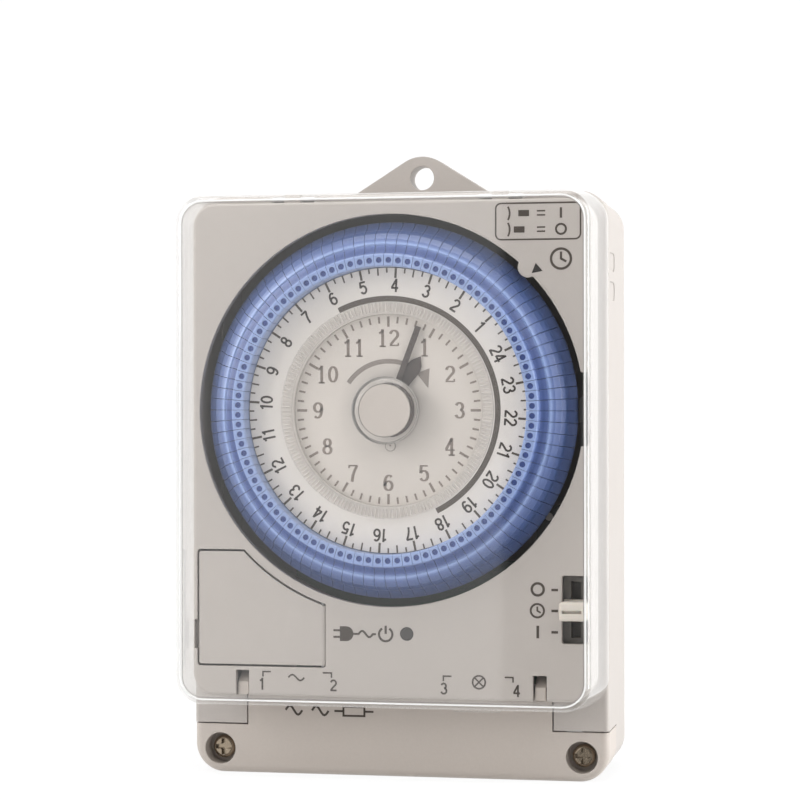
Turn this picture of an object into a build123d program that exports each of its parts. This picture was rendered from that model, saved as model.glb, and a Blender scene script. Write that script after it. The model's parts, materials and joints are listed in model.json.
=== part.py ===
from build123d import *
import math
import os

# Programmable mechanical 24-hour timer, in millimetres.
# X points right, Z up, and the front faces -Y. Y = 0 is the wall plane and the
# dial axis meets it at the origin. A "height" is a distance above the wall, -Y.

os.makedirs("parts", exist_ok=True)


# ---------------------------------------------------------------------------
# Helpers
# ---------------------------------------------------------------------------
def above_wall(height):
    """Sketch plane parallel to the wall, with sketch axes X and Z."""
    return Plane.XZ.offset(height)


def sides(x, z):
    """The same place on the left and on the right."""
    return [(-x, z), (x, z)]


def ring(radius, angles):
    """Places on a circle about the dial axis; angles are measured from +X towards +Z."""
    return [
        (radius * math.cos(math.radians(angle)), radius * math.sin(math.radians(angle)))
        for angle in angles
    ]


def save(part, label):
    part.label = label
    export_step(part, "parts/" + label + ".step")


def save_cylinders(label, base, places, layers):
    """A piece made of cylinders only. Layers: start, length, radius, along the base normal."""
    with BuildPart() as piece:
        for start, length, radius in layers:
            with BuildSketch(base.offset(start)):
                with Locations(*places):
                    Circle(radius)
            extrude(amount=length)
    save(piece.part, label)


def save_blocks(label, base, place, layers):
    """A piece made of rounded blocks. Layers: start, length, sketch width, sketch height, corner."""
    with BuildPart() as piece:
        for start, length, width, tall, corner in layers:
            with BuildSketch(base.offset(start)):
                with Locations(place):
                    RectangleRounded(width, tall, corner)
            extrude(amount=length)
    save(piece.part, label)


def gear_outline(module, teeth, phase):
    """Points of an external involute gear, a tooth centred on the phase angle."""
    pressure = math.radians(25.0)
    pitch_radius = module * teeth / 2
    base_radius = pitch_radius * math.cos(pressure)
    tip_radius = pitch_radius + 0.75 * module
    root_radius = pitch_radius - 1.05 * module
    involute = math.tan(pressure) - pressure
    half_tooth = (math.pi / 2 - 0.24) / teeth  # thinned for backlash

    def half_angle(radius):
        if radius <= base_radius:
            return half_tooth + involute
        local = math.acos(base_radius / radius)
        return half_tooth + involute - (math.tan(local) - local)

    radii = [root_radius, max(base_radius, root_radius + 0.05 * module), pitch_radius, tip_radius]
    points = []
    for k in range(teeth):
        middle = math.radians(phase) + 2 * math.pi * k / teeth
        flanks = [(r, middle - half_angle(r)) for r in radii]
        flanks += [(r, middle + half_angle(r)) for r in reversed(radii)]
        points += [(r * math.cos(angle), r * math.sin(angle)) for r, angle in flanks]
    return points


# ---------------------------------------------------------------------------
# Shared dimensions
# ---------------------------------------------------------------------------
# heights above the wall
BACK_HEIGHT = 2.5  # inside of the back wall
EAR_HEIGHT = 6.0
SPLIT_HEIGHT = 20.0  # rear case meets front case
SHOULDER_HEIGHT = 35.8  # around the raised face
FACE_HEIGHT = 46.4
COVER_HEIGHT = 58.6
FACE_THICKNESS = 2.0
FACE_BACK = FACE_HEIGHT - FACE_THICKNESS

# case outline; the side walls lean outwards towards the front
CASE_HALF_WIDTH = 51.4  # at the wall
CASE_TOP = 52.7
CASE_BOTTOM = -89.6
CASE_MID_Z = (CASE_TOP + CASE_BOTTOM) / 2
CASE_TALL = CASE_TOP - CASE_BOTTOM
CASE_CORNER = 7
TAPER = 1.0  # degrees
SPLIT_GROWTH = SPLIT_HEIGHT * math.tan(math.radians(TAPER))
SPLIT_WIDTH = 2 * (CASE_HALF_WIDTH + SPLIT_GROWTH)
SPLIT_TALL = CASE_TALL + 2 * SPLIT_GROWTH

# raised face and terminal cover
RAISED_HALF_WIDTH = 49.4
RAISED_TOP = 50.7
RAISED_BOTTOM = -69.7
RAISED_CORNER = 5.5
PARTING_Z = -77.8  # parting line of the terminal cover
UPPER_TAB_HALF_WIDTH = 38.5
TONGUE_X = 36.775

# screws and posts, as X, Z places
CASE_SCREWS = sides(45.5, 46.3) + sides(45.5, -72.4)
COVER_SCREWS = sides(45.4, -84.2)
PILLARS = sides(25, -25) + sides(25, 25)
SNAP_X = 38.0
SNAP_Z = -29.6
SNAP_POSTS = [(SNAP_X, SNAP_Z - 3.9), (SNAP_X, SNAP_Z + 3.9)]
SNAP_POST_RADIUS = 0.95
TERMINALS = [(x, -77.0) for x in (-26.0, -12.0, 12.0, 26.0)]

# clear cover hinge; the axis runs along X
HINGE_HEIGHT = 37.6
HINGE_Z = 52.0
HINGE_AXIS = (-HINGE_HEIGHT, HINGE_Z)  # Y, Z
HINGE_RADIUS = 1.25
HINGE_PIN_RADIUS = 0.7
HINGE_X = 26
HINGE_CENTRES = (HINGE_X, -HINGE_X)
KNUCKLE_LENGTH = 4

# battery door hinge; the axis runs along Z
DOOR_AXIS_X = -16.7
DOOR_AXIS = (DOOR_AXIS_X, -45.5)  # X, Y
DOOR_PIN_RADIUS = 0.4

# small parts of the face
LAMP = (4.3, -54.0)
LAMP_HOLE_RADIUS = 1.67
KNOB_X = 45.35
KNOB_Z = -47.8
LEVER_PIVOT = (44.2, -21.8)
LEVER_PIN_RADIUS = 0.8

# gear train: modules, tooth counts, and the shaft places they give
MOTOR_MODULE, MOTOR_TEETH, DRIVE_TEETH = 1.0, 10, 20
CANNON_MODULE, CANNON_TEETH, MINUTE_TEETH = 0.5, 12, 36
DIAL_MODULE, DIAL_PINION_TEETH, DIAL_TEETH = 0.6, 12, 80
MOTOR_Z = -MOTOR_MODULE * (MOTOR_TEETH + DRIVE_TEETH) / 2
MINUTE_X = -CANNON_MODULE * (CANNON_TEETH + MINUTE_TEETH) / 2
IDLER_X = DIAL_MODULE * (DIAL_PINION_TEETH + DIAL_TEETH) / 2
MOTOR_AXIS = (0, MOTOR_Z)
MINUTE_AXIS = (MINUTE_X, 0)
IDLER_AXIS = (IDLER_X, 0)
MINUTE_PINION_TEETH, HOUR_TEETH = 10, 40
HOUR_MODULE = -2 * MINUTE_X / (MINUTE_PINION_TEETH + HOUR_TEETH)
REDUCE_TEETH, IDLER_TEETH = 40, 12
REDUCE_MODULE = 2 * IDLER_X / (REDUCE_TEETH + IDLER_TEETH)

# ---------------------------------------------------------------------------
# Rear case
# ---------------------------------------------------------------------------
EAR_OUTLINE = [(-22.95, 52.3), (0, 66.7), (22.95, 52.3), (22.95, 51.2), (-22.95, 51.2)]  # X, Z
REAR_WALL = 2.3
POST_ROOT = BACK_HEIGHT - 0.5  # posts start inside the back wall
BOARD_POSTS = [(-27, -41), (29, -41), (-27, -66), (29, -66)]
BLOCK_POSTS = [(-30, -77), (0, -77), (30, -77)]
REAR_POSTS = [  # start height, end height, radius, places
    (0, SPLIT_HEIGHT, 3.7, CASE_SCREWS),
    (POST_ROOT, 26.4, 3.5, COVER_SCREWS),
    (POST_ROOT, 16.5, 3.2, PILLARS),
    (POST_ROOT, 14.0, 2.4, BOARD_POSTS),
    (POST_ROOT, 10.0, 2.6, BLOCK_POSTS),
    (POST_ROOT, 33.5, 2.2, SNAP_POSTS),
    (33.4, 39.8, SNAP_POST_RADIUS, SNAP_POSTS),
]
REAR_HOLES = [  # start height, end height, radius, places
    (0, EAR_HEIGHT, 3.1, [(0, 59.63)]),
    (0, EAR_HEIGHT, 2.2, sides(38.6, -82.0)),  # lower wall screws
    (0, SPLIT_HEIGHT, 1.6, CASE_SCREWS),
    (0, 4.0, 3.1, CASE_SCREWS),  # screw head recesses
    (6, 18, 1.25, PILLARS),
    (14, 27, 1.6, COVER_SCREWS),
]

with BuildPart() as rear_case:
    with BuildSketch(above_wall(0)):
        with Locations((0, CASE_MID_Z)):
            RectangleRounded(2 * CASE_HALF_WIDTH, CASE_TALL, CASE_CORNER)
    extrude(amount=SPLIT_HEIGHT, taper=-TAPER)
    with BuildSketch(above_wall(BACK_HEIGHT)):
        with Locations((0, CASE_MID_Z)):
            RectangleRounded(2 * (CASE_HALF_WIDTH - REAR_WALL), CASE_TALL - 2 * REAR_WALL, 5)
    extrude(amount=SPLIT_HEIGHT, mode=Mode.SUBTRACT)
    # hanging ear
    with BuildSketch(above_wall(0)):
        with BuildLine():
            Polyline(*EAR_OUTLINE, close=True)
        make_face()
    extrude(amount=EAR_HEIGHT)
    for start, end, radius, places in REAR_POSTS:
        with BuildSketch(above_wall(start)):
            with Locations(*places):
                Circle(radius)
        extrude(amount=end - start)
    for start, end, radius, places in REAR_HOLES:
        with BuildSketch(above_wall(start)):
            with Locations(*places):
                Circle(radius)
        extrude(amount=end - start, mode=Mode.SUBTRACT)
    # cable entries in the bottom wall
    with BuildSketch(Plane.XY.offset(CASE_BOTTOM - 2)):
        with Locations(*sides(22, -10.5)):
            Circle(6.0)
    extrude(amount=8, mode=Mode.SUBTRACT)
    ear_tip = rear_case.edges().filter_by(Axis.Y).group_by(Axis.Z)[-1]
    fillet(ear_tip, 8.5)

# The rear edge chamfer can fail in the kernel; the case is then saved without it.
try:
    with BuildPart() as chamfered_case:
        add(rear_case.part)
        back_face = chamfered_case.faces().filter_by(Plane.XZ).sort_by(Axis.Y)[-1]
        chamfer(back_face.outer_wire().edges(), 0.6)
    save(chamfered_case.part, "rear_case")
except Exception:
    save(rear_case.part, "rear_case")


# ---------------------------------------------------------------------------
# Front case with the raised face plate
# ---------------------------------------------------------------------------
def door_outline(inset, corner):
    """Door rectangle whose corner towards the dial follows the dial opening."""
    left = -48.25 + inset
    right = -15.8 - inset
    bottom = -62.6 + inset
    top = -34.0 - inset
    with BuildSketch(Plane.XY) as outline:
        with Locations(((left + right) / 2, (bottom + top) / 2)):
            RectangleRounded(right - left, top - bottom, corner)
        Circle(49.7 + inset, mode=Mode.SUBTRACT)
    return outline.sketch


CAVITY_BOTTOM = -68.2
CAVITY_TOP = 50.6
RAISED_CAVITY_TOP = 49.2
DIAL_OPENING_RADIUS = 47.6
TAB_RADIUS = 48.3  # distance of the pointer tab from the dial axis
TAB_ANGLE = math.radians(44.8)  # clockwise from the top
SWITCH_SLOT = (45.3, -47.6)
RECESS_FLOOR_X = 51.65
RECESS_CUT = 3
HINGE_HOLE_HALF_LENGTH = 31.4

with BuildPart() as front_case:
    with BuildSketch(above_wall(SPLIT_HEIGHT)):
        with Locations((0, CASE_MID_Z)):
            RectangleRounded(SPLIT_WIDTH, SPLIT_TALL, CASE_CORNER)
    extrude(amount=SHOULDER_HEIGHT - SPLIT_HEIGHT, taper=-TAPER)
    shoulder = front_case.faces().filter_by(Plane.XZ).sort_by(Axis.Y)[0]
    fillet(shoulder.outer_wire().edges(), 1.2)
    # room for the terminal cover, then for the tab at its top
    for top, width, tall in ((PARTING_Z, 120, 40), (RAISED_BOTTOM, 2 * UPPER_TAB_HALF_WIDTH, 20)):
        with BuildSketch(above_wall(SPLIT_HEIGHT - 1)):
            with Locations((0, top - tall / 2)):
                Rectangle(width, tall)
        extrude(amount=20, mode=Mode.SUBTRACT)
    # raised face plate
    with BuildSketch(above_wall(SPLIT_HEIGHT + 6)):
        with Locations((0, (RAISED_TOP + RAISED_BOTTOM) / 2)):
            RectangleRounded(2 * RAISED_HALF_WIDTH, RAISED_TOP - RAISED_BOTTOM, RAISED_CORNER)
    extrude(amount=FACE_HEIGHT - SPLIT_HEIGHT - 6)
    face_front = front_case.faces().filter_by(Plane.XZ).sort_by(Axis.Y)[0]
    fillet(face_front.outer_wire().edges(), 0.8)
    # cavity behind the shoulder, with pockets at the lower corners
    with BuildSketch(above_wall(SPLIT_HEIGHT)):
        with Locations((0, (CAVITY_TOP + CAVITY_BOTTOM) / 2)):
            RectangleRounded(99.0, CAVITY_TOP - CAVITY_BOTTOM, 5)
        with Locations(*sides(44.6, -70)):
            RectangleRounded(9.2, 12.4, 1.0)
    extrude(amount=SHOULDER_HEIGHT - 2 - SPLIT_HEIGHT, mode=Mode.SUBTRACT)
    # cavity behind the raised face
    with BuildSketch(above_wall(SHOULDER_HEIGHT - 2)):
        with Locations((0, (RAISED_CAVITY_TOP + CAVITY_BOTTOM) / 2)):
            RectangleRounded(95.8, RAISED_CAVITY_TOP - CAVITY_BOTTOM, 4)
    extrude(amount=FACE_BACK - SHOULDER_HEIGHT + 2, mode=Mode.SUBTRACT)
    # bosses for the case screws
    with BuildSketch(above_wall(SPLIT_HEIGHT)):
        with Locations(*CASE_SCREWS):
            Circle(3.4)
    extrude(amount=SHOULDER_HEIGHT - 1 - SPLIT_HEIGHT)
    with BuildSketch(above_wall(SPLIT_HEIGHT)):
        with Locations(*CASE_SCREWS):
            Circle(1.5)
    extrude(amount=9.5, mode=Mode.SUBTRACT)
    # dial opening and the notch at its right
    with BuildSketch(above_wall(FACE_BACK)):
        Circle(DIAL_OPENING_RADIUS)
    extrude(amount=FACE_THICKNESS, mode=Mode.SUBTRACT)
    with BuildSketch(above_wall(40.0)):
        with Locations((45.3, 0.22)):
            Rectangle(6.6, 17.65)
    extrude(amount=FACE_HEIGHT - 40, mode=Mode.SUBTRACT)
    # pointer tab at the edge of the dial opening
    with BuildSketch(above_wall(FACE_HEIGHT - 1.0)):
        with Locations((TAB_RADIUS * math.sin(TAB_ANGLE), TAB_RADIUS * math.cos(TAB_ANGLE))):
            Circle(2.5)
    extrude(amount=1.0)
    # mode switch slot
    with BuildSketch(above_wall(42.6)):
        with Locations(SWITCH_SLOT):
            RectangleRounded(6.4, 16.3, 0.55)
    extrude(amount=FACE_HEIGHT - 42.6, mode=Mode.SUBTRACT)
    # slots for the terminal cover's tongues
    with BuildSketch(above_wall(SHOULDER_HEIGHT - 2.2)):
        with Locations(*sides(TONGUE_X, -68.0)):
            Rectangle(3.35, 9.0)
    extrude(amount=FACE_HEIGHT - SHOULDER_HEIGHT + 2.2, mode=Mode.SUBTRACT)
    # power lamp hole
    with BuildSketch(above_wall(FACE_BACK)):
        with Locations(LAMP):
            Circle(LAMP_HOLE_RADIUS)
    extrude(amount=FACE_THICKNESS, mode=Mode.SUBTRACT)
    # battery door opening and pry notch
    with BuildSketch(above_wall(FACE_BACK)):
        add(door_outline(0.0, 0.8))
        with Locations((-48.45, -54.85)):
            Rectangle(1.1, 7.1)
    extrude(amount=FACE_THICKNESS, mode=Mode.SUBTRACT)
    # hinge pin hole of the battery door
    with BuildSketch(Plane.XY.offset(-63.6)):
        with Locations(DOOR_AXIS):
            Circle(DOOR_PIN_RADIUS)
    extrude(amount=18.0, mode=Mode.SUBTRACT)
    # pivot hole of the trip lever
    with BuildSketch(above_wall(FACE_BACK)):
        with Locations(LEVER_PIVOT):
            Circle(LEVER_PIN_RADIUS)
    extrude(amount=0.9, mode=Mode.SUBTRACT)
    # channel for the cover's hinge edge, knuckles and their pin hole
    with BuildSketch(Plane.YZ.offset(-50)):
        with Locations(HINGE_AXIS):
            Circle(1.85)
    extrude(amount=100, mode=Mode.SUBTRACT)
    for centre in HINGE_CENTRES:
        with BuildSketch(Plane.YZ.offset(centre - KNUCKLE_LENGTH / 2)):
            with Locations(HINGE_AXIS):
                Circle(HINGE_RADIUS)
            with Locations((-HINGE_HEIGHT + 0.6, HINGE_Z - 1)):
                Rectangle(2 * HINGE_RADIUS + 1.2, 2.0)
        extrude(amount=KNUCKLE_LENGTH)
    with BuildSketch(Plane.YZ.offset(-HINGE_HOLE_HALF_LENGTH)):
        with Locations(HINGE_AXIS):
            Circle(HINGE_PIN_RADIUS)
    extrude(amount=2 * HINGE_HOLE_HALF_LENGTH, mode=Mode.SUBTRACT)
    # shallow latch recesses on the side walls
    for start in (RECESS_FLOOR_X, -RECESS_FLOOR_X - RECESS_CUT):
        with BuildSketch(Plane.YZ.offset(start)):
            with Locations((-28.5, 36.2), (-28.5, 29.1)):
                RectangleRounded(11.5, 4.4, 1.8)
        extrude(amount=RECESS_CUT, mode=Mode.SUBTRACT)
save(front_case.part, "front_case")

# ---------------------------------------------------------------------------
# Clear cover
# ---------------------------------------------------------------------------
COVER_BACK = 36.0
COVER_WALL = 1.5
COVER_WIDTH = 104.0
COVER_TALL = 125.6
COVER_MID_Z = -9.5
COVER_TAPER = 4.05
BARREL_LENGTH = 3.2
BARREL_OFFSETS = (-5.5, 2.3)  # barrel starts, from a knuckle's centre
BARREL_HOLE_HALF_LENGTH = 5.8
HINGE_PIN_HALF_LENGTH = 5.3

with BuildPart() as clear_cover:
    with BuildSketch(above_wall(COVER_BACK)):
        with Locations((0, COVER_MID_Z)):
            RectangleRounded(COVER_WIDTH, COVER_TALL, 8)
    extrude(amount=COVER_HEIGHT - COVER_BACK, taper=COVER_TAPER)
    cover_front = clear_cover.faces().filter_by(Plane.XZ).sort_by(Axis.Y)[0]
    fillet(cover_front.outer_wire().edges(), 2.2)
    with BuildSketch(above_wall(COVER_BACK)):
        with Locations((0, COVER_MID_Z)):
            RectangleRounded(COVER_WIDTH - 2 * COVER_WALL, COVER_TALL - 2 * COVER_WALL, 6.6)
    extrude(
        amount=COVER_HEIGHT - COVER_BACK - COVER_WALL, taper=COVER_TAPER, mode=Mode.SUBTRACT
    )
    # the rear edge is trimmed along the top
    with BuildSketch(above_wall(COVER_BACK)):
        with Locations((0, 60.0)):
            Rectangle(110, 20)
    extrude(amount=0.5, mode=Mode.SUBTRACT)
    # notches over the knuckles
    with BuildSketch(above_wall(35.9)):
        with Locations(*sides(HINGE_X, HINGE_Z)):
            Rectangle(4.6, 6)
    extrude(amount=3.45, mode=Mode.SUBTRACT)
    # hinge barrels on both sides of each knuckle, and their pin holes
    for centre in HINGE_CENTRES:
        for offset in BARREL_OFFSETS:
            with BuildSketch(Plane.YZ.offset(centre + offset)):
                with Locations(HINGE_AXIS):
                    Circle(HINGE_RADIUS)
            extrude(amount=BARREL_LENGTH)
    for centre in HINGE_CENTRES:
        with BuildSketch(Plane.YZ.offset(centre - BARREL_HOLE_HALF_LENGTH)):
            with Locations(HINGE_AXIS):
                Circle(0.75)
        extrude(amount=2 * BARREL_HOLE_HALF_LENGTH, mode=Mode.SUBTRACT)
    # thumb lip at the lower edge
    with BuildSketch(above_wall(36.2)):
        with Locations((20, -72.4)):
            RectangleRounded(12, 2.2, 0.6)
    extrude(amount=2.2)
save(clear_cover.part, "clear_cover")

save_cylinders("cover_hinge_pins", Plane.YZ, [HINGE_AXIS], [
    (centre - HINGE_PIN_HALF_LENGTH, 2 * HINGE_PIN_HALF_LENGTH, HINGE_PIN_RADIUS)
    for centre in HINGE_CENTRES
])

# ---------------------------------------------------------------------------
# Terminal cover and case screws
# ---------------------------------------------------------------------------
COVER_TOP_PLATE = 2.0
PLATE_BACK = SHOULDER_HEIGHT - COVER_TOP_PLATE
COVER_CAVITY_BOTTOM = -88.0
UPPER_TAB_TOP = RAISED_BOTTOM - 0.2
UPPER_TAB_BOTTOM = -79.0
HEAD_SEAT = 30.4  # height of the floor of the screw wells

with BuildPart() as terminal_cover:
    with BuildSketch(above_wall(SPLIT_HEIGHT + 0.05)):
        with Locations((0, CASE_MID_Z)):
            RectangleRounded(SPLIT_WIDTH, SPLIT_TALL, CASE_CORNER)
    extrude(amount=SHOULDER_HEIGHT - SPLIT_HEIGHT - 0.05, taper=-TAPER)
    plate_front = terminal_cover.faces().filter_by(Plane.XZ).sort_by(Axis.Y)[0]
    fillet(plate_front.outer_wire().edges(), 1.8)
    # keep only what lies below the parting line
    with BuildSketch(above_wall(SPLIT_HEIGHT - 1)):
        with Locations((0, PARTING_Z - 0.3 + 80)):
            Rectangle(120, 160)
    extrude(amount=20, mode=Mode.SUBTRACT)
    with BuildSketch(above_wall(SPLIT_HEIGHT)):
        with Locations((0, (PARTING_Z + COVER_CAVITY_BOTTOM) / 2)):
            Rectangle(99.4, PARTING_Z - COVER_CAVITY_BOTTOM)
    extrude(amount=PLATE_BACK - SPLIT_HEIGHT, mode=Mode.SUBTRACT)
    # upper tab
    with BuildSketch(above_wall(PLATE_BACK)):
        with Locations((0, (UPPER_TAB_TOP + UPPER_TAB_BOTTOM) / 2)):
            Rectangle(2 * UPPER_TAB_HALF_WIDTH - 0.6, UPPER_TAB_TOP - UPPER_TAB_BOTTOM)
    extrude(amount=COVER_TOP_PLATE)
    # two tongues for the slots of the face: middle Z, Z size, end height
    for z, tall, end in ((-67.4, 7.2, SHOULDER_HEIGHT), (-66.65, 5.7, 45.4)):
        with BuildSketch(above_wall(PLATE_BACK)):
            with Locations(*sides(TONGUE_X, z)):
                Rectangle(2.65, tall)
        extrude(amount=end - PLATE_BACK)
    # the tongues slope back at the top
    with BuildSketch(Plane.YZ.offset(-45)):
        Polygon((-46.0, -63.4), (-46.0, -66.9), (-41.0, -63.4), align=None)
    extrude(amount=90, mode=Mode.SUBTRACT)
    # screw wells
    with BuildSketch(above_wall(26.5)):
        with Locations(*COVER_SCREWS):
            Circle(5.0)
    extrude(amount=SHOULDER_HEIGHT - 1.0 - 26.5)
    for start, length, radius in ((HEAD_SEAT, 10, 3.9), (26.0, 5, 1.8)):
        with BuildSketch(above_wall(start)):
            with Locations(*COVER_SCREWS):
                Circle(radius)
        extrude(amount=length, mode=Mode.SUBTRACT)
save(terminal_cover.part, "terminal_cover")

with BuildPart() as terminal_cover_screws:
    # shank, then head
    for start, length, radius in ((14.0, 16.6, 1.6), (HEAD_SEAT, 2.5, 2.8)):
        with BuildSketch(above_wall(start)):
            with Locations(*COVER_SCREWS):
                Circle(radius)
        extrude(amount=length)
    head_fronts = terminal_cover_screws.faces().filter_by(Plane.XZ).group_by(Axis.Y)[0]
    fillet(head_fronts.edges(), 0.9)
    with BuildSketch(above_wall(31.6)):
        with Locations(*COVER_SCREWS):
            Rectangle(4.0, 1.05)
            Rectangle(1.05, 4.0)
            Circle(0.95)
    extrude(amount=2.0, mode=Mode.SUBTRACT)
save(terminal_cover_screws.part, "terminal_cover_screws")

with BuildPart() as case_screws:
    # head, then shank
    for start, length, radius in ((1.6, 2.4, 2.8), (3.9, 24.0, 1.5)):
        with BuildSketch(above_wall(start)):
            with Locations(*CASE_SCREWS):
                Circle(radius)
        extrude(amount=length)
    with BuildSketch(above_wall(1.6)):
        with Locations(*CASE_SCREWS):
            Rectangle(3.2, 0.7)
            Rectangle(0.7, 3.2)
    extrude(amount=1.2, mode=Mode.SUBTRACT)
save(case_screws.part, "case_screws")

# ---------------------------------------------------------------------------
# Battery compartment
# ---------------------------------------------------------------------------
DOOR_BACK = 44.8
DOOR_CUT_WIDTH = 3.0
HOLDER_BACK = 27.0
HOLDER_FLOOR = 28.4
CELL_AXIS = (-34.6, -54.6)  # Y, Z

with BuildPart() as battery_door:
    with BuildSketch(above_wall(DOOR_BACK)):
        add(door_outline(0.5, 0.6))
        # the flat of the door ends at the hinge axis
        with Locations((DOOR_AXIS_X + DOOR_CUT_WIDTH / 2, -52)):
            Rectangle(DOOR_CUT_WIDTH, 30, mode=Mode.SUBTRACT)
    extrude(amount=FACE_HEIGHT - DOOR_BACK)
    # hinge barrel and its bore
    with BuildSketch(Plane.XY.offset(-62.1)):
        with Locations(DOOR_AXIS):
            Circle(0.88)
    extrude(amount=14.6)
    with BuildSketch(Plane.XY.offset(-63)):
        with Locations(DOOR_AXIS):
            Circle(0.45)
    extrude(amount=18, mode=Mode.SUBTRACT)
save(battery_door.part, "battery_door")

save_cylinders("battery_door_pin", Plane.XY, [DOOR_AXIS], [(-63.5, 17.7, DOOR_PIN_RADIUS)])

with BuildPart() as battery_holder:
    with BuildSketch(above_wall(HOLDER_BACK)):
        add(door_outline(0.45, 0.8))
    extrude(amount=FACE_BACK - HOLDER_BACK)
    with BuildSketch(above_wall(HOLDER_FLOOR)):
        add(door_outline(1.9, 0.6))
    extrude(amount=20, mode=Mode.SUBTRACT)
save(battery_holder.part, "battery_holder")

# the cell lies along X, its small terminal to the right
save_cylinders("battery_cell", Plane.YZ, [CELL_AXIS], [(-44.0, 23.0, 5.0), (-21.5, 1.4, 1.9)])
save_blocks("battery_contacts", Plane.YZ, CELL_AXIS, [
    (-44.5, 0.5, 7.0, 7.0, 1),
    (-20.1, 0.5, 7.0, 7.0, 1),
])

# ---------------------------------------------------------------------------
# Terminals
# ---------------------------------------------------------------------------
with BuildPart() as terminal_block:
    with BuildSketch(above_wall(10.0)):
        with Locations((0, -77.0)):
            RectangleRounded(67.0, 13.4, 1.0)
    extrude(amount=19.0)
    with BuildSketch(above_wall(16.0)):
        with Locations(*TERMINALS):
            Rectangle(10.4, 18.0)
    extrude(amount=20.0, mode=Mode.SUBTRACT)
save(terminal_block.part, "terminal_block")

with BuildPart() as terminal_clamps:
    # lower block and upper plate: start height, length, width, Z size
    for start, length, width, tall in ((16.0, 5.4, 8.6, 10.0), (21.6, 1.0, 7.6, 8.4)):
        with BuildSketch(above_wall(start)):
            with Locations(*TERMINALS):
                Rectangle(width, tall)
        extrude(amount=length)
    with BuildSketch(above_wall(17.0)):
        with Locations(*TERMINALS):
            Circle(1.8)
    extrude(amount=8.0, mode=Mode.SUBTRACT)
save(terminal_clamps.part, "terminal_clamps")

with BuildPart() as terminal_screws:
    # shank, then head
    for start, length, radius in ((17.0, 5.8, 1.75), (22.6, 2.4, 3.2)):
        with BuildSketch(above_wall(start)):
            with Locations(*TERMINALS):
                Circle(radius)
        extrude(amount=length)
    with BuildSketch(above_wall(23.8)):
        with Locations(*TERMINALS):
            Rectangle(4.0, 0.9)
            Rectangle(0.9, 4.0)
    extrude(amount=2.0, mode=Mode.SUBTRACT)
save(terminal_screws.part, "terminal_screws")

# ---------------------------------------------------------------------------
# Circuit board and its parts
# ---------------------------------------------------------------------------
BOARD_BACK = 14.0
BOARD_THICKNESS = 1.6
BOARD_FRONT = BOARD_BACK + BOARD_THICKNESS

save_blocks("circuit_board", Plane.XZ, (1, -53.5), [(BOARD_BACK, BOARD_THICKNESS, 64.0, 31.0, 1.5)])
save_blocks("transformer", Plane.XZ, (-17.5, -58), [
    (BOARD_FRONT, 5.0, 16.0, 15.0, 0.8),
    (BOARD_FRONT + 5.0, 4.6, 13.0, 15.0, 0.8),
])

with BuildPart() as smoothing_capacitor:
    with BuildSketch(above_wall(BOARD_FRONT)):
        with Locations((13.5, -59)):
            Circle(5.0)
    extrude(amount=14.0)
    fillet(smoothing_capacitor.edges().sort_by(Axis.Y)[0], 0.8)
save(smoothing_capacitor.part, "smoothing_capacitor")

save_blocks("mains_capacitor", Plane.XZ, (26, -54), [(BOARD_FRONT, 12.0, 7.0, 17.5, 0.8)])

with BuildPart() as power_lamp:
    # flange, then lens
    for start, length, radius in ((BOARD_FRONT, 1.0, 1.9), (BOARD_FRONT + 1.0, 3.2, 1.5)):
        with BuildSketch(above_wall(start)):
            with Locations(LAMP):
                Circle(radius)
        extrude(amount=length)
    fillet(power_lamp.edges().sort_by(Axis.Y)[0], 1.2)
save(power_lamp.part, "power_lamp")

# the rod, and the collar behind the face
save_cylinders("light_pipe", Plane.XZ, [LAMP], [
    (20.4, 25.9, LAMP_HOLE_RADIUS),
    (FACE_BACK - 1.5, 1.5, 2.6),
])

# ---------------------------------------------------------------------------
# Mode switch
# ---------------------------------------------------------------------------
SLIDER_X = 45.0
SLIDER_STEM = [  # start height, length, X, width, Z size
    (39.6, 3.4, SLIDER_X, 2.0, 3.0),
    (42.8, 1.4, SLIDER_X, 5.4, 5.0),
    (44.1, 2.6, 45.3, 5.6, 4.0),
]

with BuildPart() as mode_switch:
    with BuildSketch(above_wall(34.0)):
        with Locations((44.2, -48.1)):
            RectangleRounded(7.2, 23.4, 0.6)
    extrude(amount=8.6)
    with BuildSketch(above_wall(39.4)):
        with Locations((SLIDER_X, KNOB_Z)):
            Rectangle(2.4, 13.6)
    extrude(amount=5, mode=Mode.SUBTRACT)
save(mode_switch.part, "mode_switch")

with BuildPart() as mode_slider:
    for start, length, x, width, tall in SLIDER_STEM:
        with BuildSketch(above_wall(start)):
            with Locations((x, KNOB_Z)):
                Rectangle(width, tall)
        extrude(amount=length)
    # knob with a line groove across its front
    with BuildSketch(above_wall(46.6)):
        with Locations((KNOB_X - 0.12, KNOB_Z)):
            RectangleRounded(6.7, 4.5, 0.8)
    extrude(amount=3.8)
    knob_front = mode_slider.faces().filter_by(Plane.XZ).sort_by(Axis.Y)[0]
    fillet(knob_front.outer_wire().edges(), 0.7)
    with BuildSketch(above_wall(49.5)):
        with Locations((KNOB_X - 0.3, KNOB_Z - 0.1)):
            Rectangle(4.6, 0.75)
    extrude(amount=2, mode=Mode.SUBTRACT)
save(mode_slider.part, "mode_slider")

# ---------------------------------------------------------------------------
# Snap switch, plunger and trip lever
# ---------------------------------------------------------------------------
PLUNGER_AXIS = (-36.4, SNAP_Z)  # Y, Z
LEVER_OUTLINE = [  # X, Z
    (46.2, 3), (47.4, 3), (47.4, -6), (47.0, -12), (46.0, -21.8), (43.8, -31),
    (42.15, -31), (42.5, -22), (44.2, -19.8), (45.9, -12), (46.2, -6),
]

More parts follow.
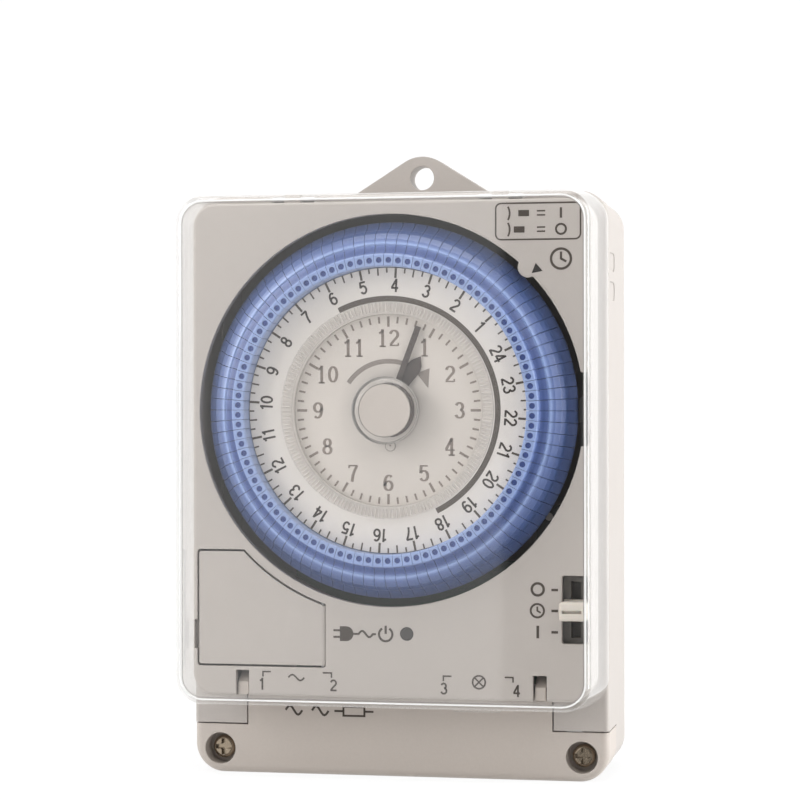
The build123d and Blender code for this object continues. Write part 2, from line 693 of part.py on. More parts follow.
with BuildPart() as snap_switch:
    with BuildSketch(above_wall(33.5)):
        with Locations((SNAP_X, SNAP_Z)):
            RectangleRounded(6.2, 12.8, 0.4)
    extrude(amount=6.0)
    with BuildSketch(above_wall(33.4)):
        with Locations(*SNAP_POSTS):
            Circle(SNAP_POST_RADIUS)
    extrude(amount=7, mode=Mode.SUBTRACT)
    # plunger bore in the right side
    with BuildSketch(Plane.YZ.offset(38.6)):
        with Locations(PLUNGER_AXIS):
            Circle(0.75)
    extrude(amount=4, mode=Mode.SUBTRACT)
save(snap_switch.part, "snap_switch")

save_cylinders("snap_plunger", Plane.YZ, [PLUNGER_AXIS], [(39.2, 3.1, 0.69)])

with BuildPart() as trip_lever:
    with BuildSketch(above_wall(40.4)):
        with BuildLine():
            Polyline(*LEVER_OUTLINE, close=True)
        make_face()
        with Locations(LEVER_PIVOT):
            Circle(1.9)
    extrude(amount=2.0)
    # raised blade beside the dial
    with BuildSketch(above_wall(42.4)):
        with Locations((46.8, 0)):
            Rectangle(1.2, 6)
    extrude(amount=2.6)
    # foot beside the plunger
    with BuildSketch(above_wall(34.0)):
        with Locations((42.975, SNAP_Z)):
            Rectangle(1.25, 2.8)
    extrude(amount=6.4)
    with BuildSketch(above_wall(40.0)):
        with Locations(LEVER_PIVOT):
            Circle(0.85)
    extrude(amount=3, mode=Mode.SUBTRACT)
save(trip_lever.part, "trip_lever")

save_cylinders("trip_lever_pivot", Plane.XZ, [LEVER_PIVOT], [
    (40.2, 5.1, LEVER_PIN_RADIUS),
    (39.6, 0.7, 1.5),
])

# ---------------------------------------------------------------------------
# Movement frame
# ---------------------------------------------------------------------------
REAR_PLATE = 16.5  # height of the plate's back
FRONT_PLATE = 37.0
PLATE_THICKNESS = 1.5
PLATE_SIZE = (64, 62, 4)  # width, Z size, corner
PILLAR_BORE_RADIUS = 1.3
ARBOR_END_RADIUS = 0.8
HOUR_TUBE_HOLE_RADIUS = 2.26
HUB_SCREWS = ring(16.5, (60, 180, 300))

REAR_PLATE_HOLES = [  # radius, places
    (0.85, [(0, 0)]),
    (3.0, [MOTOR_AXIS]),
    (0.8, [MINUTE_AXIS]),
    (0.85, [IDLER_AXIS]),
    (PILLAR_BORE_RADIUS, PILLARS),
]
FRONT_PLATE_HOLES = [  # radius, places
    (HOUR_TUBE_HOLE_RADIUS, [(0, 0)]),
    (1.06, [IDLER_AXIS]),
    (PILLAR_BORE_RADIUS, PILLARS),
    (1.1, HUB_SCREWS),
]
for label, start, holes in (
    ("movement_rear_plate", REAR_PLATE, REAR_PLATE_HOLES),
    ("movement_front_plate", FRONT_PLATE, FRONT_PLATE_HOLES),
):
    with BuildPart() as movement_plate:
        with BuildSketch(above_wall(start)):
            RectangleRounded(*PLATE_SIZE)
        extrude(amount=PLATE_THICKNESS)
        with BuildSketch(above_wall(start)):
            for radius, places in holes:
                with Locations(*places):
                    Circle(radius)
        extrude(amount=PLATE_THICKNESS, mode=Mode.SUBTRACT)
    save(movement_plate.part, label)

with BuildPart() as movement_pillars:
    with BuildSketch(above_wall(REAR_PLATE + PLATE_THICKNESS)):
        with Locations(*PILLARS):
            Circle(2.6)
            Circle(PILLAR_BORE_RADIUS, mode=Mode.SUBTRACT)
    extrude(amount=FRONT_PLATE - REAR_PLATE - PLATE_THICKNESS)
save(movement_pillars.part, "movement_pillars")

with BuildPart() as movement_screws:
    # shank, then head
    for start, length, radius in ((8.0, 30.6, 1.25), (38.5, 1.7, 2.3)):
        with BuildSketch(above_wall(start)):
            with Locations(*PILLARS):
                Circle(radius)
        extrude(amount=length)
    with BuildSketch(above_wall(39.4)):
        with Locations(*PILLARS):
            Rectangle(4.8, 0.6)
    extrude(amount=1.2, mode=Mode.SUBTRACT)
save(movement_screws.part, "movement_screws")

# ---------------------------------------------------------------------------
# Motor and gear train
# ---------------------------------------------------------------------------
with BuildPart() as clock_motor:
    with BuildSketch(above_wall(4.0)):
        with Locations(MOTOR_AXIS):
            Circle(12.5)
    extrude(amount=11.9)
    with BuildSketch(above_wall(15.0)):
        with Locations(MOTOR_AXIS):
            RectangleRounded(34, 7, 3)
    extrude(amount=1.5)
    # clearance on the dial axis, then the shaft bore
    for start, length, radius, place in ((15.0, 2.0, 2.2, (0, 0)), (10.0, 8.0, 0.85, MOTOR_AXIS)):
        with BuildSketch(above_wall(start)):
            with Locations(place):
                Circle(radius)
        extrude(amount=length, mode=Mode.SUBTRACT)
save(clock_motor.part, "clock_motor")

with BuildPart() as motor_pinion:
    with BuildSketch(above_wall(10.4)):
        with Locations(MOTOR_AXIS):
            Circle(ARBOR_END_RADIUS)
    extrude(amount=9.2)
    with BuildSketch(above_wall(19.4)):
        with Locations(MOTOR_AXIS):
            Polygon(*gear_outline(MOTOR_MODULE, MOTOR_TEETH, 108), align=None)
    extrude(amount=2.4)
save(motor_pinion.part, "motor_pinion")

with BuildPart() as minute_arbor:
    for start, length, radius in ((16.2, 2.4, ARBOR_END_RADIUS), (18.4, 33.0, 1.2)):
        with BuildSketch(above_wall(start)):
            Circle(radius)
        extrude(amount=length)
    for start, length, outline in (
        (19.5, 2.0, gear_outline(MOTOR_MODULE, DRIVE_TEETH, -90)),
        (22.6, 3.4, gear_outline(CANNON_MODULE, CANNON_TEETH, 180)),
    ):
        with BuildSketch(above_wall(start)):
            Polygon(*outline, align=None)
        extrude(amount=length)
save(minute_arbor.part, "minute_arbor")

save_cylinders("minute_wheel_stud", Plane.XZ, [MINUTE_AXIS], [
    (REAR_PLATE, 14.0, ARBOR_END_RADIUS),
])

with BuildPart() as minute_wheel:
    for start, length, outline in (
        (23.0, 1.6, gear_outline(CANNON_MODULE, MINUTE_TEETH, 5)),
        (24.5, 5.4, gear_outline(HOUR_MODULE, MINUTE_PINION_TEETH, 0)),
    ):
        with BuildSketch(above_wall(start)):
            with Locations(MINUTE_AXIS):
                Polygon(*outline, align=None)
        extrude(amount=length)
    with BuildSketch(above_wall(22.0)):
        with Locations(MINUTE_AXIS):
            Circle(0.86)
    extrude(amount=9.0, mode=Mode.SUBTRACT)
save(minute_wheel.part, "minute_wheel")

with BuildPart() as hour_wheel:
    # tube that carries the hour hand
    with BuildSketch(above_wall(26.4)):
        Circle(2.2)
    extrude(amount=21.4)
    with BuildSketch(above_wall(27.0)):
        Polygon(*gear_outline(HOUR_MODULE, HOUR_TEETH, 184.5), align=None)
    extrude(amount=1.5)
    # large wheel with four lightening holes
    with BuildSketch(above_wall(31.0)):
        Polygon(*gear_outline(REDUCE_MODULE, REDUCE_TEETH, 0), align=None)
        with Locations(*ring(12.5, (45, 135, 225, 315))):
            Circle(5.0, mode=Mode.SUBTRACT)
    extrude(amount=1.5)
    with BuildSketch(above_wall(26.0)):
        Circle(1.26)
    extrude(amount=23.0, mode=Mode.SUBTRACT)
save(hour_wheel.part, "hour_wheel")

with BuildPart() as dial_drive_arbor:
    for start, length, radius in ((16.6, 2.2, ARBOR_END_RADIUS), (18.6, 23.0, 1.0)):
        with BuildSketch(above_wall(start)):
            with Locations(IDLER_AXIS):
                Circle(radius)
        extrude(amount=length)
    for start, length, outline in (
        (30.8, 2.0, gear_outline(REDUCE_MODULE, IDLER_TEETH, 195)),
        (38.9, 2.3, gear_outline(DIAL_MODULE, DIAL_PINION_TEETH, 180)),
    ):
        with BuildSketch(above_wall(start)):
            with Locations(IDLER_AXIS):
                Polygon(*outline, align=None)
        extrude(amount=length)
save(dial_drive_arbor.part, "dial_drive_arbor")

# ---------------------------------------------------------------------------
# Dial
# ---------------------------------------------------------------------------
HUB_BACK = FRONT_PLATE + PLATE_THICKNESS
FACE_RING_RADIUS = 23.3  # inner edge of the number ring
CARRIER_FRONT = 47.2
CARRIER_PROFILE = [  # radius, height
    (20.06, 39.0), (20.06, 45.3), (22.45, 45.3), (22.45, 46.3), (FACE_RING_RADIUS, 46.3),
    (FACE_RING_RADIUS, CARRIER_FRONT), (34.3, CARRIER_FRONT), (34.3, 42.5), (35.8, 42.5),
    (35.8, 41.3), (41.6, 41.3), (41.6, 42.5), (44.6, 42.5), (44.6, 40.6), (33.0, 40.6),
    (33.0, 45.6), (25.6, 45.6), (25.6, 41.4), (22.4, 41.4), (22.4, 39.0),
]

with BuildPart() as dial_hub:
    with BuildSketch(above_wall(HUB_BACK)):
        Circle(20.0)
        Circle(18.0, mode=Mode.SUBTRACT)
    extrude(amount=7.9)
    # front flange
    with BuildSketch(above_wall(45.4)):
        Circle(22.3)
    extrude(amount=1.0)
    # screw bosses and central boss
    with BuildSketch(above_wall(HUB_BACK)):
        with Locations(*HUB_SCREWS):
            Circle(2.4)
        Circle(4.2)
    extrude(amount=7.4)
    with BuildSketch(above_wall(HUB_BACK)):
        Circle(HOUR_TUBE_HOLE_RADIUS)
    extrude(amount=8.0, mode=Mode.SUBTRACT)
    with BuildSketch(above_wall(HUB_BACK)):
        with Locations(*HUB_SCREWS):
            Circle(1.0)
    extrude(amount=4.0, mode=Mode.SUBTRACT)
save(dial_hub.part, "dial_hub")

save_cylinders("dial_hub_screws", Plane.XZ, HUB_SCREWS, [
    (FRONT_PLATE, 5.0, 1.0),
    (FRONT_PLATE - 1.5, 1.5, 2.0),
])

with BuildPart() as dial_carrier:
    with BuildSketch(Plane.XY):
        with BuildLine():
            Polyline(*[(radius, -height) for radius, height in CARRIER_PROFILE], close=True)
        make_face()
    revolve(axis=Axis.Y)
    # gear ring around the inner wall
    with BuildSketch(above_wall(39.0)):
        Polygon(*gear_outline(DIAL_MODULE, DIAL_TEETH, 2.25), align=None)
        Circle(22.2, mode=Mode.SUBTRACT)
    extrude(amount=2.4)
save(dial_carrier.part, "dial_carrier")

# flat rings: name, start height, thickness, outer radius, inner radius
for label, start, thickness, outer, inner in (
    ("clock_face", FACE_HEIGHT, 0.8, 23.2, 2.3),
    ("number_ring", CARRIER_FRONT, 1.0, 34.45, FACE_RING_RADIUS),
):
    with BuildPart() as flat_ring:
        with BuildSketch(above_wall(start)):
            Circle(outer)
            Circle(inner, mode=Mode.SUBTRACT)
        extrude(amount=thickness)
    save(flat_ring.part, label)

# ---------------------------------------------------------------------------
# Time-set pins
# ---------------------------------------------------------------------------
PIN_COUNT = 96
PIN_PITCH = 360.0 / PIN_COUNT  # degrees
PIN_PHASE = 2.07  # degrees clockwise from the top to pin 0
PIN_GAP = 0.16  # degrees
PIN_ARC = PIN_PITCH - PIN_GAP
MINUTES_PER_PIN = 24 * 60 // PIN_COUNT
MIDNIGHT_PIN = 16  # times run backwards from here
SINGLE_PINS = range(15, 7, -1)  # saved one by one, 00:15 to 02:00
PIN_PROFILE = [  # radius, height
    (34.6, 42.6), (34.6, 52.8), (34.9, 53.15), (37.3, 53.2), (37.6, 52.9), (37.8, 51.5),
    (39.7, 50.6), (40.1, 50.85), (41.3, 50.35), (42.6, 49.1), (43.4, 47.5), (43.8, 46.2),
    (44.6, 44.9), (45.7, 43.5), (45.7, 42.6), (40.2, 42.6), (40.2, 41.45), (35.95, 41.45),
    (35.95, 42.6),
]

with BuildPart() as pin:
    # the wedge sweeps from +X towards -Z
    with BuildSketch(Plane.XY):
        with BuildLine():
            Polyline(*[(radius, -height) for radius, height in PIN_PROFILE], close=True)
        make_face()
    revolve(axis=Axis.Y, revolution_arc=PIN_ARC)
    # dimple in the front of the pin
    with BuildSketch(above_wall(52.9)):
        with Locations(*ring(36.05, [-PIN_ARC / 2])):
            Circle(0.72)
    extrude(amount=1.0, mode=Mode.SUBTRACT)
pin_centre = pin.part.center()
clockwise_angle = math.degrees(math.atan2(pin_centre.X, pin_centre.Z))
upright_pin = pin.part.rotate(Axis.Y, -clockwise_angle)


def pin_at(k):
    return upright_pin.rotate(Axis.Y, PIN_PHASE + PIN_PITCH * k)


time_pins = Compound(
    children=[pin_at(k).solids()[0] for k in range(PIN_COUNT) if k not in SINGLE_PINS]
)
save(time_pins, "time_pins")
for k in SINGLE_PINS:
    hours, minutes = divmod((MIDNIGHT_PIN - k) * MINUTES_PER_PIN, 60)
    save(pin_at(k), f"time_pin_{hours:02d}{minutes:02d}")

# ---------------------------------------------------------------------------
# Hands, setting disc and knob
# ---------------------------------------------------------------------------
HOUR_ANGLE = 31.7  # degrees clockwise from the top
MINUTE_ANGLE = 20.6
HAND_THICKNESS = 0.35
MINUTE_HAND_LENGTH = 21.6
SPINDLE_RADIUS = 1.2
DISC_BACK = 48.5
DISC_THICKNESS = 0.8
DISC_FRONT = DISC_BACK + DISC_THICKNESS
DISC_RADIUS = 26.15
HOUR_HAND_OUTLINE = [  # X, Z with the hand pointing up
    (-1.0, 0), (-1.2, 7.5), (-1.6, 10.3), (-1.8, 12.0), (-1.45, 13.3), (0, 15.3),
    (1.45, 13.3), (1.8, 12.0), (1.6, 10.3), (1.2, 7.5), (1.0, 0),
]
KNOB_PROFILE = [  # radius, height
    (SPINDLE_RADIUS, DISC_FRONT), (8.1, DISC_FRONT), (8.1, 51.9), (7.8, 52.4), (6.5, 53.4),
    (0, 53.4), (0, 51.4), (SPINDLE_RADIUS, 51.4),
]

with BuildPart() as hour_hand:
    with BuildSketch(above_wall(47.45)):
        Circle(3.4)
        with BuildLine():
            Polyline(*HOUR_HAND_OUTLINE, close=True)
        make_face()
        Circle(2.2, mode=Mode.SUBTRACT)
    extrude(amount=HAND_THICKNESS)
save(hour_hand.part.rotate(Axis.Y, HOUR_ANGLE), "hour_hand")

with BuildPart() as minute_hand:
    with BuildSketch(above_wall(48.05)):
        Circle(2.8)
        with Locations((0, MINUTE_HAND_LENGTH / 2)):
            Rectangle(1.4, MINUTE_HAND_LENGTH)
        Circle(SPINDLE_RADIUS, mode=Mode.SUBTRACT)
    extrude(amount=HAND_THICKNESS)
save(minute_hand.part.rotate(Axis.Y, MINUTE_ANGLE), "minute_hand")

with BuildPart() as setting_disc:
    # disc, then its raised rim: start height, thickness, inner radius
    for start, thickness, inner in (
        (DISC_BACK, DISC_THICKNESS, SPINDLE_RADIUS),
        (DISC_FRONT, 0.5, 23.5),
    ):
        with BuildSketch(above_wall(start)):
            Circle(DISC_RADIUS)
            Circle(inner, mode=Mode.SUBTRACT)
        extrude(amount=thickness)
save(setting_disc.part, "setting_disc")

with BuildPart() as setting_knob:
    with BuildSketch(Plane.XY):
        with BuildLine():
            Polyline(*[(radius, -height) for radius, height in KNOB_PROFILE], close=True)
        make_face()
    revolve(axis=Axis.Y)
save(setting_knob.part, "setting_knob")
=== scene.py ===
"""A 24-hour time switch: a clock face inside a turning ring of time pins, a mode switch and lamp
below it, a terminal cover at the foot and a clear cover over the front.

The object hangs on a wall in the plane y = 0 and faces -Y, with +X to the right and +Z up; the
dial's axis runs through x = z = 0. Pieces are drawn in millimetres in X and Z at a height off
the wall, which is -Y. Angles are in degrees, clockwise from the top as seen from the front.
The stage, lights and camera are in metres.
"""
import bpy
import bmesh
import json
import math
from mathutils import Matrix, Vector
from mathutils.geometry import tessellate_polygon


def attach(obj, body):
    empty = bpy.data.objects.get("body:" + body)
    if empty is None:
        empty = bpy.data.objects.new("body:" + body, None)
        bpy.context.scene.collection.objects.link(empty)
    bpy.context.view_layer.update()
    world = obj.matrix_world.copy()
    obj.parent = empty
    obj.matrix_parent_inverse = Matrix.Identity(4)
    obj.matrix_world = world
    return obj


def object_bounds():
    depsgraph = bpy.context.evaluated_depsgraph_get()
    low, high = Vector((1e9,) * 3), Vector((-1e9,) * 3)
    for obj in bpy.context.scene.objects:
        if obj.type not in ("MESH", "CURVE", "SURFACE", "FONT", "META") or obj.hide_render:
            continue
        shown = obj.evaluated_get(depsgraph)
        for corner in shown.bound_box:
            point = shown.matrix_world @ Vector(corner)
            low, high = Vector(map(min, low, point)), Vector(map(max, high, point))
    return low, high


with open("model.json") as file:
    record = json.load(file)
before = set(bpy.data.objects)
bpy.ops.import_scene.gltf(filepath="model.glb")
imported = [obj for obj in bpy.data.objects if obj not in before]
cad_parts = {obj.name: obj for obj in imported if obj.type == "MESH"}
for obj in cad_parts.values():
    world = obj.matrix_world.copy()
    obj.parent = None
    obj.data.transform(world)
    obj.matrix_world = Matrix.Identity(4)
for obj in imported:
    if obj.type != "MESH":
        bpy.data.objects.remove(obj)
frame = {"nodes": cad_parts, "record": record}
cad_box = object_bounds()
scene = bpy.context.scene

MM = 0.001
INK_THICKNESS = 0.02
# heights of the printed surfaces off the wall
RING_HEIGHT = 48.2
CLOCK_HEIGHT = 47.2
FACE_HEIGHT = 46.4
TERMINAL_COVER_HEIGHT = 35.8
PIN_HEIGHT = 52.90


# ------------------------------------------------------------------ shader nodes
class Graph:
    """Adds shader nodes. An input takes a value, a socket, or a node for its first output."""

    def __init__(self, tree):
        self.tree = tree

    def add(self, kind, inputs=None, **settings):
        node = self.tree.nodes.new("ShaderNode" + kind)
        for name, value in settings.items():
            setattr(node, name, value)
        self.fill(node, inputs or {})
        return node

    def fill(self, node, inputs):
        for key, value in inputs.items():
            if isinstance(value, bpy.types.Node):
                value = value.outputs[0]
            if isinstance(value, bpy.types.NodeSocket):
                self.tree.links.new(value, node.inputs[key])
            else:
                node.inputs[key].default_value = value

    def math(self, operation, *values, **settings):
        return self.add("Math", dict(enumerate(values)), operation=operation, **settings)

    def noise(self, coordinates, scale, detail):
        return self.add("TexNoise", {"Vector": coordinates, "Scale": scale, "Detail": detail})

    def map_range(self, value, source=(0.0, 1.0), target=(0.0, 1.0)):
        return self.add("MapRange", {
            "Value": value, "From Min": source[0], "From Max": source[1],
            "To Min": target[0], "To Max": target[1]})

    def mix_color(self, factor, first, second, **settings):
        inputs = {0: factor, 6: first, 7: second}
        return self.add("Mix", inputs, data_type="RGBA", **settings).outputs[2]

    def mix_shader(self, factor, first, second):
        return self.add("MixShader", {0: factor, 1: first, 2: second})

    def bevel(self, radius):
        return self.add("Bevel", {"Radius": radius * MM}, samples=4)

    def bump(self, strength, distance, height, normal):
        return self.add("Bump", {
            "Strength": strength, "Distance": distance, "Height": height, "Normal": normal})

    def edges(self, bevel, source, amount):
        """Mask of the edges, where the bevelled normal leaves the true one."""
        normal = self.add("NewGeometry").outputs["Normal"]
        dot = self.add("VectorMath", {0: bevel, 1: normal}, operation="DOT_PRODUCT")
        agreement = self.math("ABSOLUTE", dot.outputs["Value"])
        return self.map_range(agreement, source, (0.0, amount))


def rgba(color):
    return (*color, 1)


def srgb(*channels):
    """Linear colour from 8-bit sRGB channels."""
    def linear(c):
        c /= 255.0
        return c / 12.92 if c <= 0.04045 else ((c + 0.055) / 1.055) ** 2.4
    return tuple(linear(c) for c in channels)


def new_material(name):
    material = bpy.data.materials.new(name)
    material.use_nodes = True
    material.node_tree.nodes.clear()
    graph = Graph(material.node_tree)
    return material, graph, graph.add("OutputMaterial")


# ------------------------------------------------------------------ materials
def plastic(name, color, rough=0.45, grain=220.0, bump=0.06, mottling=0.035, edge=0.12,
            edge_radius=0.25, metallic=0.0, coat=0.0, subsurface=0.0, edge_color=None):
    """Moulded plastic or metal: fine grain, a slow colour drift and paler rubbed edges, which on
    the pins and the disc's ribs are painted highlight.
    """
    material, graph, output = new_material(name)
    coordinates = graph.add("TexCoord").outputs["Object"]
    drift = graph.noise(coordinates, scale=38.0, detail=3.0)
    fine = graph.noise(coordinates, scale=grain * 10, detail=2.0)
    drifted = graph.mix_color(
        drift,
        rgba(max(0.0, c * (1 - mottling)) for c in color),
        rgba(min(1.0, c * (1 + mottling)) for c in color))
    grey = graph.add("HueSaturation", {"Saturation": 0.0, "Color": fine.outputs["Color"]})
    grained = graph.mix_color(0.10, drifted, grey, blend_type="MULTIPLY")
    bevel = graph.bevel(edge_radius)
    edges = graph.edges(bevel, source=(0.98, 0.75), amount=edge)
    paler = edge_color or tuple(min(1.0, c * 1.5 + 0.08) for c in color)
    shader = graph.add("BsdfPrincipled", {
        "Base Color": graph.mix_color(edges, grained, rgba(paler)),
        "Roughness": graph.map_range(
            drift, target=(max(0.02, rough - 0.07), min(1.0, rough + 0.07))),
        "Normal": graph.bump(bump, distance=0.0001, height=fine, normal=bevel),
        "Metallic": metallic,
        "Specular IOR Level": 0.5,
        "Coat Weight": coat,
        "Coat Roughness": 0.12,
    })
    if subsurface:
        graph.fill(shader, {"Subsurface Weight": subsurface, "Subsurface Scale": 0.002})
    graph.fill(output, {0: shader})
    return material


def clear(name, edge, edge_radius, graze, tint=(0.992, 0.990, 0.987), rough=0.03,
          reflection=1.0):
    """Clear plastic: shinier at a glancing angle, with faint ripple, wipe marks and pale edges
    painted as highlight.
    """
    material, graph, output = new_material(name)
    coordinates = graph.add("TexCoord").outputs["Object"]
    ripple = graph.noise(coordinates, scale=16.0, detail=2.0)
    wipes = graph.noise(coordinates, scale=700.0, detail=3.0)
    bevel = graph.bevel(edge_radius)
    see_through = graph.add("BsdfTransparent", {0: rgba(tint)})
    gloss = graph.add("BsdfGlossy", {
        "Color": (1, 1, 1, 1),
        "Roughness": graph.map_range(wipes, source=(0.4, 0.75), target=(rough, rough + 0.05)),
        "Normal": graph.bump(0.02, distance=0.0004, height=ripple, normal=bevel),
    })
    # reflection rises from its head-on share to nearly full at a glancing angle
    facing = graph.add("LayerWeight", {"Blend": 0.5}).outputs["Facing"]
    glancing = graph.math("POWER", facing, 5.0)
    share = graph.math("MULTIPLY_ADD", glancing, 0.90 * reflection, 0.04 * reflection)
    surface = graph.mix_shader(share, see_through, gloss)
    # painted highlight: pale white mixed onto the edges and onto walls seen end on, standing for
    # their bright look
    edges = graph.edges(bevel, source=(0.995, 0.80), amount=edge)
    end_on = graph.math("POWER", facing, 4.0)
    end_on_highlight = graph.math("MULTIPLY_ADD", end_on, graze, 0.0)
    painted_highlight = graph.math("MAXIMUM", edges, end_on_highlight, use_clamp=True)
    white = (0.95, 0.95, 0.94, 1)
    diffuse = graph.add("BsdfDiffuse", {0: white})
    translucent = graph.add("BsdfTranslucent", {0: white})
    highlight_milk = graph.mix_shader(0.5, diffuse, translucent)
    seen = graph.mix_shader(painted_highlight, surface, highlight_milk)
    # shadow and diffuse rays pass to what is behind, slightly dimmed
    passing = graph.add("BsdfTransparent", {0: rgba(c * 0.985 for c in tint)})
    rays = graph.add("LightPath").outputs
    indirect = graph.math("MAXIMUM", rays["Is Shadow Ray"], rays["Is Diffuse Ray"])
    graph.fill(output, {0: graph.mix_shader(indirect, seen, passing)})
    return material


# distance from the dial's axis in mm, and the pins' colour there, with painted light and shade: a
# paler top band where it faces the light, a bright painted highlight line at the ridge, and
# painted shade in the groove and down the slope
PIN_COLORS_WITH_PAINTED_LIGHT = [
    (34.0, (0.27, 0.35, 0.57)), (37.25, (0.235, 0.32, 0.58)), (37.45, (0.25, 0.34, 0.61)),
    (37.75, (0.074, 0.126, 0.33)), (38.6, (0.034, 0.070, 0.235)), (39.5, (0.094, 0.148, 0.365)),
    (39.9, (0.29, 0.39, 0.68)), (40.35, (0.26, 0.355, 0.62)), (40.9, (0.115, 0.170, 0.385)),
    (42.0, (0.056, 0.100, 0.265)), (43.2, (0.040, 0.076, 0.212)), (45.8, (0.085, 0.120, 0.265)),
]


def pin_plastic(name):
    """Blue time pins with painted light and shade: paler on the top band and the ridge as painted
    highlight, deeper in the groove and the slope as painted shade.
    """
    inner, outer = 34.0, 47.0
    # the pale blue edge_color paints a highlight along the pins' edges
    material = plastic(name, color=(0.1, 0.15, 0.35), rough=0.36, grain=110, bump=0.05,
                       mottling=0.05, edge=0.30, edge_radius=0.14,
                       edge_color=(0.24, 0.33, 0.66), coat=0.18)
    graph = Graph(material.node_tree)
    position = graph.add("NewGeometry").outputs["Position"]
    parts = graph.add("SeparateXYZ", {0: position}).outputs
    flat_position = graph.add("CombineXYZ", {"X": parts["X"], "Z": parts["Z"]})
    radius = graph.add("VectorMath", {0: flat_position}, operation="LENGTH").outputs["Value"]
    ramp = graph.add("ValToRGB", {
        0: graph.map_range(radius, source=(inner * MM, outer * MM))})
    elements = ramp.color_ramp.elements
    elements.remove(elements[1])
    for i, (stop, color) in enumerate(PIN_COLORS_WITH_PAINTED_LIGHT):
        element = elements.new((stop - inner) / (outer - inner)) if i else elements[0]
        element.color = rgba(color)
    # the ramp, darkened and lightened, feeds the two colours of the drift, the first mix
    drift = next(node for node in material.node_tree.nodes
                 if node.type == "MIX" and node.data_type == "RGBA")
    for socket, brightness in ((6, 0.93), (7, 1.07)):
        scaled = graph.add("VectorMath", {0: ramp, "Scale": brightness}, operation="SCALE")
        graph.fill(drift, {socket: scaled})
    return material


def ink(name, color, rough=0.55):
    return plastic(name, color, rough=rough, grain=300, bump=0.03, mottling=0.06, edge=0.0,
                   edge_radius=0.05)


def matt(name, color):
    """Plain matt plastic without pale edges."""
    return plastic(name, color, rough=0.5, grain=160, bump=0.05, edge=0.0)


def paper(name):
    """Matt white paper, brighter to the camera than it lights the object."""
    material, graph, output = new_material(name)
    diffuse = graph.add("BsdfDiffuse", {"Color": (0.93, 0.93, 0.93, 1), "Roughness": 0.8})
    glow = graph.add("Emission", {"Color": (1, 1, 1, 1), "Strength": 1.0})
    camera_ray = graph.add("LightPath").outputs["Is Camera Ray"]
    front = graph.mix_shader(graph.map_range(camera_ray, target=(0.35, 0.86)), diffuse, glow)
    # from behind it lets the camera through, so the back of the object can be looked at
    backfacing = graph.add("NewGeometry").outputs["Backfacing"]
    behind = graph.math("MULTIPLY", camera_ray, backfacing)
    graph.fill(output, {0: graph.mix_shader(behind, front, graph.add("BsdfTransparent"))})
    return material


# material slot: material
MATERIALS = {
    "case": plastic("case_plastic", color=(0.446, 0.409, 0.380), rough=0.42, grain=160, bump=0.12,
                    mottling=0.025, edge=0.25, edge_radius=0.35),
    "terminal_cover": plastic("terminal_cover_plastic", color=(0.500, 0.448, 0.405), grain=160,
                              bump=0.12, mottling=0.03, edge=0.3, edge_radius=0.4),
    "clear": clear("clear_polycarbonate", edge=0.45, edge_radius=0.25, graze=0.18),
    "steel": plastic("plain_steel", color=(0.55, 0.55, 0.56), rough=0.3, grain=400, bump=0.08,
                     metallic=1.0, edge=0.3, edge_radius=0.15),
    "screw": plastic("nickel_screw", color=(0.44, 0.36, 0.27), rough=0.24, grain=260, bump=0.2,
                     mottling=0.18, metallic=1.0, edge=0.6, edge_radius=0.22,
                     edge_color=(0.85, 0.80, 0.72)),
    "dark_plastic": plastic("dark_moulding", color=(0.016, 0.016, 0.018), rough=0.5, grain=200,
                            bump=0.1, edge=0.10, edge_radius=0.2),
    "black_plastic": plastic("black_moulding", color=(0.014, 0.014, 0.015), grain=200, bump=0.1,
                             edge_radius=0.2),
    "cell": plastic("cell_sleeve", color=(0.05, 0.20, 0.10), rough=0.3, grain=100, bump=0.03,
                    coat=0.4),
    "brass": plastic("turned_brass", color=(0.70, 0.50, 0.22), rough=0.28, grain=420, bump=0.07,
                     metallic=1.0, edge=0.3, edge_radius=0.12),
    "board": plastic("board_green", color=(0.04, 0.16, 0.07), rough=0.4, grain=120, bump=0.08,
                     coat=0.3),
    "core": plastic("core_lamination", color=(0.12, 0.11, 0.10), rough=0.55, grain=300, bump=0.2,
                    metallic=0.6),
    "film_cap": plastic("film_capacitor", color=(0.45, 0.33, 0.05), rough=0.35, grain=90,
                        bump=0.03, coat=0.3),
    "lamp": plastic("lamp_epoxy", color=(0.35, 0.02, 0.015), rough=0.2, grain=60, bump=0.01,
                    coat=0.5),
    "lens": plastic("smoked_lens", color=(0.040, 0.036, 0.034), rough=0.25, grain=90, bump=0.02,
                    edge=0.2, edge_radius=0.2, coat=0.5),
    "cream": plastic("cream_acetal", color=(0.60, 0.555, 0.495), rough=0.38, grain=120, bump=0.05,
                     edge=0.45, edge_radius=0.35, subsurface=0.05),
    "plate": plastic("zinc_plate", color=(0.50, 0.51, 0.52), rough=0.35, grain=300, bump=0.08,
                     metallic=1.0),
    "gear_plastic": plastic("natural_acetal", color=(0.72, 0.70, 0.64), grain=120, bump=0.04,
                            subsurface=0.1),
    "dial_white": plastic("dial_print_ground", color=(0.700, 0.660, 0.620), rough=0.55, grain=240,
                          bump=0.05, mottling=0.02, edge=0.0, edge_radius=0.1),
    "hand": plastic("hand_paint", color=(0.052, 0.036, 0.031), rough=0.5, grain=300, bump=0.08,
                    edge=0.35, edge_radius=0.12),
    "knob": clear("knob_clear", tint=(0.975, 0.968, 0.962), rough=0.06, edge=0.30,
                  edge_radius=0.2, graze=0.3),
    "disc": clear("disc_clear", tint=(0.985, 0.978, 0.972), rough=0.05, edge=0.25,
                  edge_radius=0.15, graze=0.2, reflection=0.8),
    "pin_blue": pin_plastic("pin_plastic"),
}
